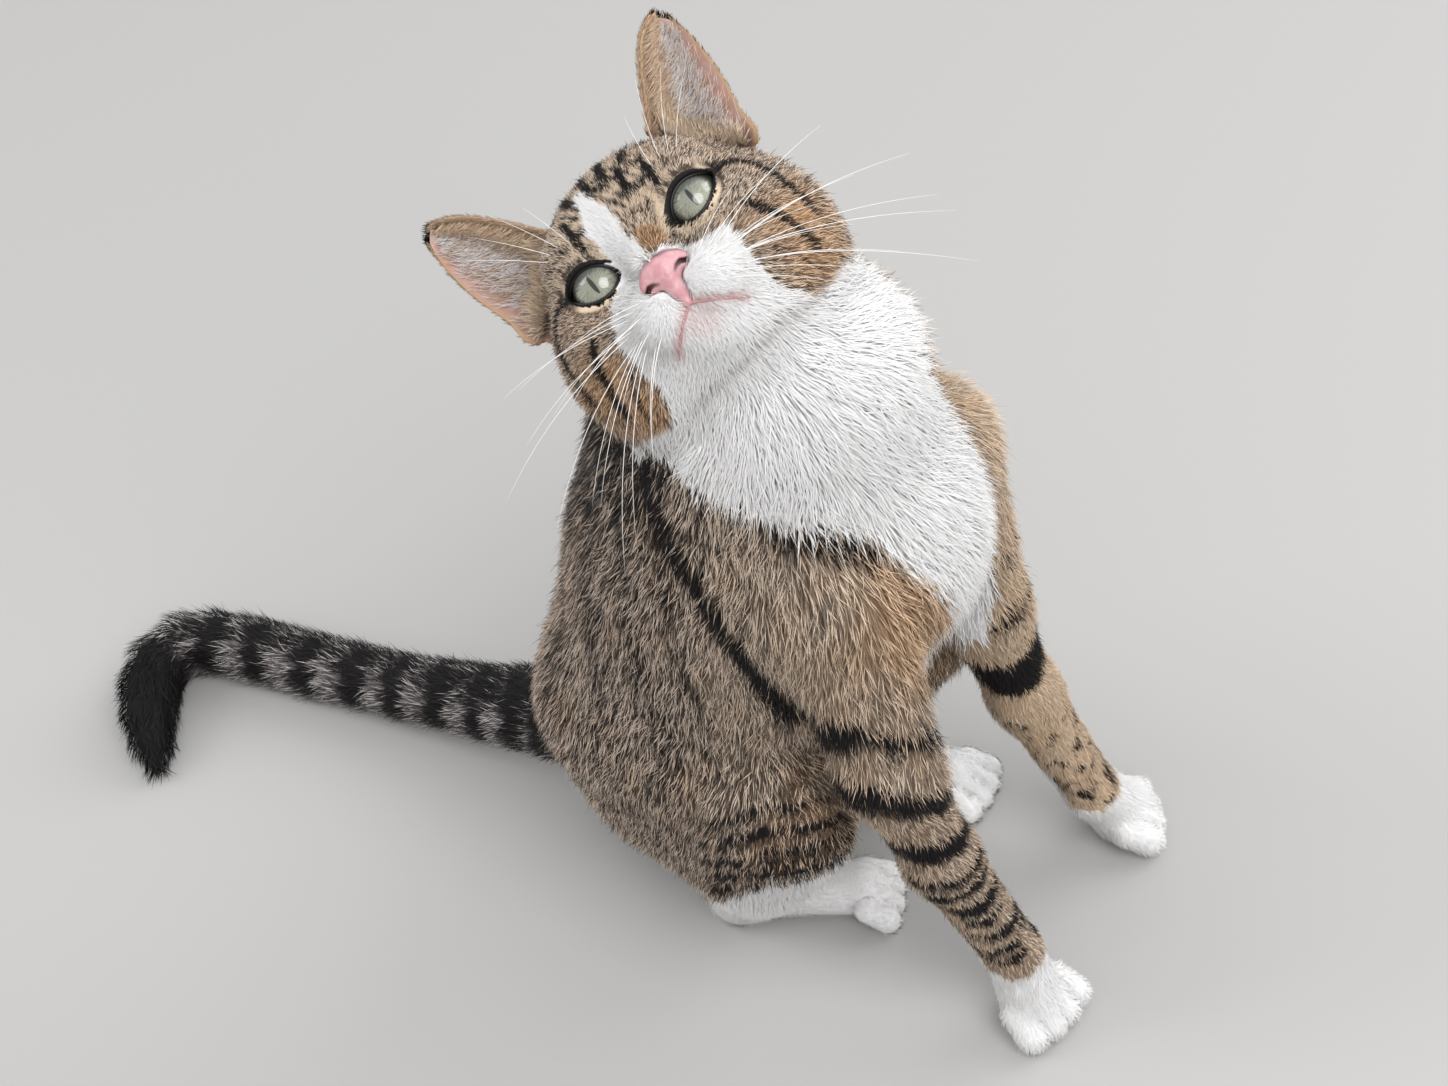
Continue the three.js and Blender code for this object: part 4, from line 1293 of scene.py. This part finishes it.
def hoops(line, side, rise, radii, sides, wide=1.0, high=1.0):
    """A ring of places round each place of a line."""
    a = np.arange(sides) * 2 * math.pi / sides
    ring = side[:, None] * (np.cos(a) * wide)[:, None] + rise[:, None] * (np.sin(a) * high)[:, None]
    return (line[:, None] + ring * np.array(radii)[:, None, None]).reshape(-1, 3)


def tube(line, radii, sides, up=(0, 0, 1.0)):
    """A closed, tapering tube along a line of places."""
    line = np.array(line, float)
    way = unit(np.gradient(line, axis=0))
    side = unit(np.cross(way, up))
    places = hoops(line, side, np.cross(side, way), radii, sides)
    faces = strips(len(line), sides)
    faces.append(tuple(range(sides))[::-1])
    faces.append(tuple(range(len(places) - sides, len(places))))
    return places, faces


def joined(name, shapes, material):
    """Small closed shapes, given in the head's own directions, as one piece."""
    places, faces, start = [], [], 0
    for more, loops in shapes:
        places.append(more)
        faces += [tuple(start + i for i in loop) for loop in loops]
        start += len(more)
    piece = new_piece(name, head_to_model(np.concatenate(places)), faces, material)
    face_out(piece)
    return piece


def almond_line(s, count=72):
    """The edge of one eye's opening, on a ball just over the eye's own."""
    half = count // 2
    places = []
    for i in range(count):
        if i < half:
            u = LID_HALF * (1 - 2 * i / half) * 0.985
            v = LID_UP - UPPER_ARC + math.sqrt(UPPER_ARC ** 2 - u ** 2)
        else:
            u = LID_HALF * (2 * (i - half) / half - 1) * 0.985
            v = -(LID_DOWN - LOWER_ARC + math.sqrt(LOWER_ARC ** 2 - u ** 2))
        x = s * (u * LID_COS - v * LID_SIN) + s * PUPIL_OUT
        z = u * LID_SIN + v * LID_COS
        dx = x - s * EYE_OUT
        reach = (EYE_RADIUS + LID_OVER) ** 2 - dx ** 2 - z ** 2
        places.append([x, EYE_BACK - math.sqrt(max(reach, 2.0)), z])
    return np.array(places)


def make_lids(material):
    shapes = []
    for s in SIDES:
        line = almond_line(s)
        count, sides = len(line), 10
        way = unit(np.roll(line, -1, 0) - np.roll(line, 1, 0))
        out = unit(line - eye_centre(s))
        side = unit(np.cross(way, out))
        inner = fade(-(s * line[:, 0]), -22, -12)
        top = fade(line[:, 2], -2, 4)
        places = hoops(line, side, out, 0.66 + 0.4 * inner + 0.16 * top, sides, 1.2, 0.8)
        faces = []
        for i in range(count):
            n = (i + 1) % count
            for j in range(sides):
                k = (j + 1) % sides
                faces.append((i * sides + j, n * sides + j, n * sides + k, i * sides + k))
        shapes.append((places, faces))
    piece = joined("lid_rims", shapes, material)
    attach(piece, "root")


NOSTRIL = [[4.6, -18.2, -20.4], [5.8, -17.4, -19.1], [7.4, -16.2, -18.4], [9.4, -13.6, -19.2]]


def nose_shape(h):
    d = nose_form(h)
    for s in SIDES:
        d = carve(d, along(h, mirrored(NOSTRIL, s))[0] - 0.7, 0.9)
    return carve(d, lump([0, -20.2, -19], [0, -16.6, -30], 0.3)(h), 1.0)


def make_nose(material):
    places, quads = net(nose_shape, [-13, -23, -35], [13, -3, -7], 0.5)
    places = settle(places, nose_shape, 2, 0.1)
    piece = new_piece("nose_leather", head_to_model(places), quads, material)
    hole = np.full(len(places), 9.0)
    for s in SIDES:
        hole = np.minimum(hole, along(places, mirrored(NOSTRIL, s))[0])
    rim = [[2.5, -16.6, -10.6], [7.5, -15.4, -12], [10.3, -12.6, -15.4]]
    edge = 1 - fade(along(places, rim)[0], 0.6, 2.4)
    # first channel: painted shade inside the nostrils; second: the dark rim along the leather's top edge
    shade = np.stack([fade(-hole, -1.5, -0.7), 0.6 * edge, places[:, 2] * 0, places[:, 2] * 0 + 1], 1)
    add_colour(piece.data, "nostril_shade_and_dark_rim", shade)
    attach(piece, "root")
    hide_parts("nose")


def nose_material():
    material, n, shader = new_material("nose leather", 0.42, 0.45)
    where = n.add("ShaderNodeTexCoord").outputs["Object"]
    hole, edge, _, _ = n.channels("nostril_shade_and_dark_rim")
    pink = n.mix(n.ease(n.noise(where, 260.0), 0.35, 0.7), (0.47, 0.225, 0.25), (0.56, 0.32, 0.34))
    # painted shade: the nostrils' insides near black
    pink = n.mix(hole, pink, (0.04, 0.010, 0.011))
    pink = n.mix(edge, pink, (0.09, 0.05, 0.05))
    n.put(shader.inputs["Base Color"], pink)
    grain = n.add("ShaderNodeTexVoronoi")
    n.put(grain.inputs["Vector"], where)
    n.put(grain.inputs["Scale"], 1500.0)
    n.put(shader.inputs["Normal"], n.bump(grain.outputs["Distance"], 0.3, 0.0002))
    return material


def make_mouth(material):
    """The edge of the lips: two thin strips that part below the nose."""
    shapes = []
    for s in SIDES:
        stations = np.array(mirrored(MOUTH, s)[::-1], float)
        t = np.linspace(0, len(stations) - 1, 26)
        line = np.stack([np.interp(t, np.arange(len(stations)), stations[:, k]) for k in range(3)], 1)
        for _ in range(3):
            line[1:-1] = (line[:-2] + line[1:-1] * 2 + line[2:]) / 4
        line[:, 1] += 1.5
        shapes.append(tube(line, np.interp(t, [0, 0.4, 2.8, 4], [0.85, 0.75, 0.55, 0.15]), 8))
    piece = joined("lip_line", shapes, material)
    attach(piece, "root")


# ---- ears ------------------------------------------------------------------------------
EAR = {
    1: dict(inner=[26, 26, 35], outer=[52, 38, 8], tip=[57, 28, 66.5]),
    -1: dict(inner=[27, 26, 32], outer=[56, 38, 6], tip=[62.5, 28, 64]),
}
EAR_SCOOP, EAR_ROOT, EAR_ROUND, EAR_SWELL, EAR_THICK = 17, 9, 13, (6, 9), 1.3


def ear_place(s, u, v):
    """A place on an ear's inside: u runs from foot to tip, v from the inner edge to the outer."""
    inner, outer, tip = (np.array(EAR[s][k], float) for k in ("inner", "outer", "tip"))
    upward = (tip - (inner + outer) / 2) / np.linalg.norm(tip - (inner + outer) / 2)
    across = (outer - inner) / np.linalg.norm(outer - inner)
    back = np.cross(across, upward)
    back *= np.sign(back[1]) / np.linalg.norm(back)
    u, v = np.asarray(u, float)[:, None], np.asarray(v, float)[:, None]

    def edge(foot, bulge):
        middle = (foot + tip) / 2 + across * bulge
        t = np.clip(u * 0.965, 0, 1)
        curve = (1 - t) ** 2 * foot + 2 * t * (1 - t) * middle + t * t * tip
        curve = curve + across * np.sign(bulge) * EAR_ROUND * np.sqrt(np.clip(1 - t, 0, 1)) * t * t
        return np.where(u < 0, foot + upward * u * EAR_ROOT, curve)
    sag = EAR_SCOOP * np.sqrt(np.clip(1 - np.maximum(u, 0), 0, 1)) * np.sin(math.pi * v)
    spot = edge(inner, -EAR_SWELL[0]) * (1 - v) + edge(outer, EAR_SWELL[1]) * v + back * sag
    # the outer edge curls forward at its foot, in a small pocket
    curl = np.exp(-((u - 0.1) / 0.13) ** 2) * np.clip((v - 0.8) / 0.2, 0, 1) ** 1.5
    spot = spot - back * curl * 5 + across * curl * 2.0
    return spot * [s, 1, 1]


def ear_grid(s, rows, columns, low=-0.6):
    u, v = np.meshgrid(np.linspace(low, 1, rows), np.linspace(0, 1, columns), indexing="ij")
    places = ear_place(s, u.ravel(), v.ravel()).reshape(rows, columns, 3)
    du, dv = np.gradient(places, axis=0), np.gradient(places, axis=1)
    out = np.cross(du, dv)
    out /= np.maximum(np.linalg.norm(out, axis=2), 1e-9)[:, :, None]
    if out[rows // 2, columns // 2, 1] < 0:
        out = -out
    return places, out, u, v


def make_ear(s, material):
    rows, columns = 44, 34
    front, out, u, v = ear_grid(s, rows, columns)
    thin = EAR_THICK * np.clip(np.minimum(v, 1 - v) * 9, 0.35, 1) * np.clip((1.02 - u) * 8, 0.3, 1)
    back = front + out * thin[:, :, None]
    places = np.concatenate([front.reshape(-1, 3), back.reshape(-1, 3)])
    faces, sheet = [], rows * columns
    for i in range(rows - 1):
        for j in range(columns - 1):
            k = i * columns + j
            faces.append((k, k + 1, k + columns + 1, k + columns))
            faces.append((sheet + k + columns, sheet + k + columns + 1, sheet + k + 1, sheet + k))
        a, b = i * columns, i * columns + columns - 1
        faces.append((sheet + a, a, a + columns, sheet + a + columns))
        faces.append((b, sheet + b, sheet + b + columns, b + columns))
    for j in range(columns - 1):
        top = (rows - 1) * columns + j
        faces.append((j + 1, j, sheet + j, sheet + j + 1))
        faces.append((top, top + 1, sheet + top + 1, sheet + top))
    name = "ear_left" if s > 0 else "ear_right"
    piece = new_piece(name + "_shell", head_to_model(places), faces, material)
    face_out(piece)
    uu, vv = u.ravel(), v.ravel()
    inside = np.stack([uu, vv, np.ones(sheet), np.ones(sheet)], 1)
    outside = np.stack([uu, vv, np.zeros(sheet), np.ones(sheet)], 1)
    add_colour(piece.data, "ear_place", np.concatenate([inside, outside]))
    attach(piece, "root")
    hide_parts(name)


def ear_material():
    material, n, shader = new_material("ear skin", 0.6, 0.3)
    u, v, inside, _ = n.channels("ear_place")
    where = n.add("ShaderNodeTexCoord").outputs["Object"]
    mottle = n.noise(where, 160.0, 3.0)
    pink = n.mix(n.ease(v, 0.25, 0.9), (0.36, 0.25, 0.205), (0.50, 0.29, 0.225))
    pink = n.mix(n.ease(u, 0.0, 0.35, 1.0, 0.0), pink, (0.26, 0.145, 0.115))
    pink = n.mix(n.ease(mottle, 0.3, 0.7, 0.0, 0.6), pink, (0.50, 0.375, 0.37))
    pink = n.mix(n.ease(v, 0.955, 0.99), pink, (0.42, 0.27, 0.17))
    tan = n.mix(mottle, (0.13, 0.09, 0.06), (0.36, 0.25, 0.16))
    tan = n.mix(n.ease(u, 0.96, 1.0), tan, (0.03, 0.024, 0.022))
    n.put(shader.inputs["Base Color"], n.mix(inside, tan, pink))
    return material


def ear_coat(s, seed):
    """Roots, ways and sizes of the hairs on an ear: short outside, longer and pale inside."""
    dice = np.random.default_rng(seed)
    sets = []
    scale = 1.0
    rows, columns, low = 60, 50, -0.3

    def add(kind, spot, normal, way, long, wide, high):
        sizes = [np.broadcast_to(size, u.shape) for size in (long, wide, high)]
        sets.append((kind, spot, normal, way, *sizes, u, v))
    front, out, _, _ = ear_grid(s, rows, columns, low)

    def at(u, v):
        i = np.clip((u - low) / (1 - low) * (rows - 1), 0, rows - 1.001)
        j = np.clip(v * (columns - 1), 0, columns - 1.001)
        a, b = i.astype(int), j.astype(int)
        du = unit(front[a + 1, b] - front[a, b])
        dv = unit(front[a, b + 1] - front[a, b])
        f, g = (i - a)[:, None], (j - b)[:, None]
        spot = (front[a, b] * (1 - f) * (1 - g) + front[a + 1, b] * f * (1 - g)
                + front[a, b + 1] * (1 - f) * g + front[a + 1, b + 1] * f * g)
        return spot, out[a, b], du, dv
    # outside
    count = int(4200 * scale)
    u, v = dice.uniform(-0.25, 0.99, count), dice.uniform(0.0, 1.0, count)
    spot, normal, up, across = at(u, v)
    rim = fade(np.abs(v - 0.5), 0.4, 0.5)
    way = unit(up + across * (v - 0.5)[:, None] * 0.4)
    add("outside", spot + normal * EAR_THICK * 0.8, normal, way, 4.4 - 1.6 * rim, 0.45, 1.0 - 0.5 * rim)
    # inside, sweeping from the inner edge and the foot across the cup
    count = int(2500 * scale)
    u = dice.uniform(-0.15, 0.9, count)
    v = dice.beta(1.2, 1.9, count) * (0.97 - 0.12 * u)
    spot, normal, up, across = at(u, v)
    sweep = across * (0.95 - 0.35 * u[:, None]) * (1 - 0.4 * v[:, None])
    way = unit(up * (0.9 - 0.25 * v[:, None]) + sweep)
    add("inside", spot - normal * 0.1, -normal, way, 15 - 7 * u - 3.5 * v, 0.3,
        2.8 + 2.2 * (1 - u) - 1.6 * v)
    # a tan band of short hair up the inner edge
    count = int(1500 * scale)
    u = dice.uniform(-0.1, 0.98, count)
    v = dice.uniform(0.0, 1.0, count) ** 1.4 * (0.10 + 0.10 * (1 - u))
    spot, normal, up, across = at(u, v)
    add("band", spot - normal * 0.1, -normal, unit(up + across * 0.18), 5.0, 0.4, 1.0)
    # a fringe along both edges
    count = int(1500 * scale)
    u = dice.uniform(-0.1, 1.0, count)
    v = np.where(dice.uniform(0, 1, count) < 0.5, dice.uniform(0, 0.03, count), dice.uniform(0.97, 1, count))
    spot, normal, up, across = at(u, v)
    sign = np.where(v < 0.5, -1.0, 1.0)[:, None]
    add("fringe", spot + normal * 0.5, unit(across * sign + normal * 0.3),
        unit(up + across * sign * 0.1), 2.6, 0.3, 0.4)
    # longer pale tufts over the ear's foot
    count = int(420 * scale)
    u = dice.uniform(-0.2, 0.02, count)
    v = dice.uniform(0.08, 0.96, count)
    spot, normal, up, across = at(u, v)
    way = unit(up + across * (v - 0.45)[:, None] * 0.5)
    add("foot", spot - normal * 2.5, -normal, way, 12.0, 0.5, 2.6)
    return sets


def ear_marks(kind, root, u, v, dice):
    """The same masks as the coat's, for one kind of hair on an ear."""
    first, second = np.zeros((len(root), 4)), np.zeros((len(root), 4))
    if kind == "inside":
        first[:, 3] = 0.2
        second[:, 0] = np.clip(0.75 + 0.25 * dice.normal(size=len(root)), 0.3, 1)
        second[:, 1] = 0.06 + 0.12 * v
        first[:, 0] = (dice.uniform(0, 1, len(root)) < 0.62 * fade(v, 0.08, 0.3)) * 0.62
        first[:, 2] = 0.8 * fade(-v, -0.34, -0.1)
    elif kind == "band":
        first[:, 2], second[:, 0] = 0.8, 0.35
        first[:, 1] = 0.62 * fade(v, 0.09, 0.16) + 0.5 * fade(u, 0.97, 1.0)
    elif kind == "foot":
        first[:, 2], second[:, 0] = 0.25, 0.75
    elif kind == "fringe":
        first[:, 2], second[:, 0] = 0.7, 0.6
        first[:, 1] = fade(u, 0.975, 1.0)
    else:
        first[:, 1] = np.maximum(fade(u, 0.955, 0.99), 0.35 * fade(ripple(root, 9, 51), 0.1, 0.8))
        first[:, 2], first[:, 3] = 0.3, 0.45
        second[:, 0] = 0.35 + 0.3 * fade(np.abs(v - 0.5), 0.4, 0.5)
    return first, second


def make_ear_coats(material):
    for s, side in NAMED_SIDES:
        for kind, root, out, way, long, wide, high, u, v in ear_coat(s, 300 + s):
            dice = np.random.default_rng(310 + s)
            count = len(root)
            out = unit(out - way * (out * way).sum(1)[:, None])
            turn = dice.normal(0, 0.2, count)[:, None]
            way = unit(way + np.cross(out, way) * turn)
            stations = LONG if kind in ("inside", "foot") else FINE
            corner = blades(root, out, way, long * dice.uniform(0.7, 1.2, count), wide, high,
                            dice.normal(0, 0.12, count), stations)
            name = f"ear_hair_{kind}_{side}"
            piece, tris = big_mesh(name, from_head(corner.reshape(-1, 3)).reshape(corner.shape),
                                   blade_faces(len(stations)), material)
            first, second = ear_marks(kind, root, u, v, dice)
            add_colour(piece.data, "coat_marks", np.repeat(first, corner.shape[1], 0))
            add_colour(piece.data, "coat_more", np.repeat(second, corner.shape[1], 0))
            uv = np.stack([np.clip(v, 0, 1), np.clip((u + 0.3) / 1.3, 0, 1)], 1) * 0.96 + 0.02
            add_strands(piece, tris, uv, stations, dice)
            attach(piece, "root")


# ---- whiskers --------------------------------------------------------------------------
WHISKER_SIDE, WHISKER_TOP = 0.0975, 0.43        # no whisker reaches past these, in metres


def make_whiskers(material):
    dice = np.random.default_rng(77)
    shapes = []
    for s in SIDES:
        for row in range(4):
            for k in range(4 if row else 3):
                x = 12.5 + 4.2 * k + dice.normal(0, 0.4)
                root = np.array([s * x, -15 + 3.4 * k, -20.5 - 3.8 * row + dice.normal(0, 0.5)])
                aim = np.array([s, -0.34 + 0.14 * k, 0.34 - 0.3 * row + dice.normal(0, 0.07)])
                long = (40 + 10 * k + 5 * (row in (1, 2))) * dice.uniform(0.8, 1.15)
                shapes.append(whisker(root, aim, long, [0, 0.3, -0.22 - 0.05 * row], 0.15))
        for k in range(4):
            root = np.array([s * (20 + 3.2 * k), 0.5 + 0.8 * k, 13.5 + 0.8 * k])
            aim = np.array([s * (0.1 + 0.2 * k), -0.5, 1.0 - 0.1 * k])
            shapes.append(whisker(root, aim, 34 + 3 * k - 6 * (k == 0), [s * 0.12, 0.4, 0.0], 0.11))
    piece = joined("whisker_hairs", shapes, material)
    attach(piece, "root")


def whisker(root, aim, long, droop, r):
    aim = np.array(aim, float) / np.linalg.norm(aim)
    t = np.linspace(0, 1, 13)[:, None]
    for _ in range(12):
        line = root + aim * long * (t - 0.03) + np.array(droop) * long * 0.7 * t * t
        end = head_to_model(line[-1])
        if abs(end[0]) < WHISKER_SIDE and end[2] < WHISKER_TOP:
            break
        long *= 0.93
    return tube(line, r * (1 - t[:, 0]) ** 0.7 + 0.025, 5, (0.31, 0.2, 0.93))


# ---- putting the model together ----------------------------------------------------------
skin = make_skin()
skin.data.materials.append(skin_material())
spots = places_of(skin.data)
first_marks, more_marks = marks(spots + of_corners(skin.data, "normal") * coat_depth(spots)[:, None])
add_colour(skin.data, "coat_marks", first_marks)
add_colour(skin.data, "coat_more", more_marks)
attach(skin, "root")
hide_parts(*FLESH)

hair = coat_material()
make_all_coats(skin, hair)
for side in SIDES:
    make_eye(side, eye_material())
ear_leather = ear_material()
for side in SIDES:
    make_ear(side, ear_leather)
make_ear_coats(hair)
make_lids(plain_material("lid rims", 0.36, 0.35))
make_nose(nose_material())
make_mouth(plain_material("lips", 0.5, 0.35))
make_whiskers(plain_material("whisker hair", 0.35, 0.5))

# ---- camera, lamps and floor -------------------------------------------------------------
CAMERA_AT = np.array([-662.0, -360.2, 1004.8])
CAMERA_RIGHT = Vector((0.4377, -0.8796, -0.1862))
CAMERA_BACK = Vector((-0.5745, -0.4329, 0.6947))
CAMERA_LENS = 69.6
LAMPS_AIM = Vector((0, 0, 0.2))
FLOOR_REACH, FLOOR_COLOUR = 40, (0.40, 0.396, 0.39, 1)
SKY_STRENGTH = 0.86


def make_camera():
    lens = bpy.data.cameras.new("camera")
    lens.sensor_width = 36
    lens.lens = CAMERA_LENS
    lens.clip_start, lens.clip_end = 0.01, 50
    camera = placed("camera", lens)
    back = CAMERA_BACK.normalized()
    right = (CAMERA_RIGHT - back * CAMERA_RIGHT.dot(back)).normalized()
    ways = Matrix((right, back.cross(right), back)).transposed()
    camera.matrix_world = Matrix.Translation(to_model(CAMERA_AT)) @ ways.to_4x4()
    bpy.context.scene.camera = camera


def make_lamp(name, at, size, power):
    light = bpy.data.lights.new(name, "AREA")
    light.shape = "DISK"
    light.size = size
    light.energy = power
    lamp = placed(name, light)
    lamp.location = at
    lamp.rotation_euler = (LAMPS_AIM - Vector(at)).to_track_quat("-Z", "Y").to_euler()


def make_floor():
    places = [(x * FLOOR_REACH, y * FLOOR_REACH, 0) for x, y in ((-1, -1), (1, -1), (1, 1), (-1, 1))]
    floor = new_piece("floor", places, [(0, 1, 2, 3)], smooth=False)
    pale = bpy.data.materials.new("pale_floor")
    pale.use_nodes = True
    shader = pale.node_tree.nodes["Principled BSDF"]
    shader.inputs["Base Color"].default_value = FLOOR_COLOUR
    shader.inputs["Roughness"].default_value = 0.9
    floor.data.materials.append(pale)


def make_world():
    world = bpy.data.worlds.new("studio")
    world.use_nodes = True
    world.node_tree.nodes["Background"].inputs["Color"].default_value = (1, 1, 1, 1)
    world.node_tree.nodes["Background"].inputs["Strength"].default_value = SKY_STRENGTH
    bpy.context.scene.world = world


make_camera()
make_lamp("key", (-0.85, -1.5, 2.1), 1.8, 45)
make_lamp("fill", (1.8, -1.5, 1.6), 2.2, 33)
make_lamp("rim", (-0.9, 2.3, 1.9), 1.8, 26)
make_floor()
make_world()
bpy.context.scene.view_settings.view_transform = "Standard"
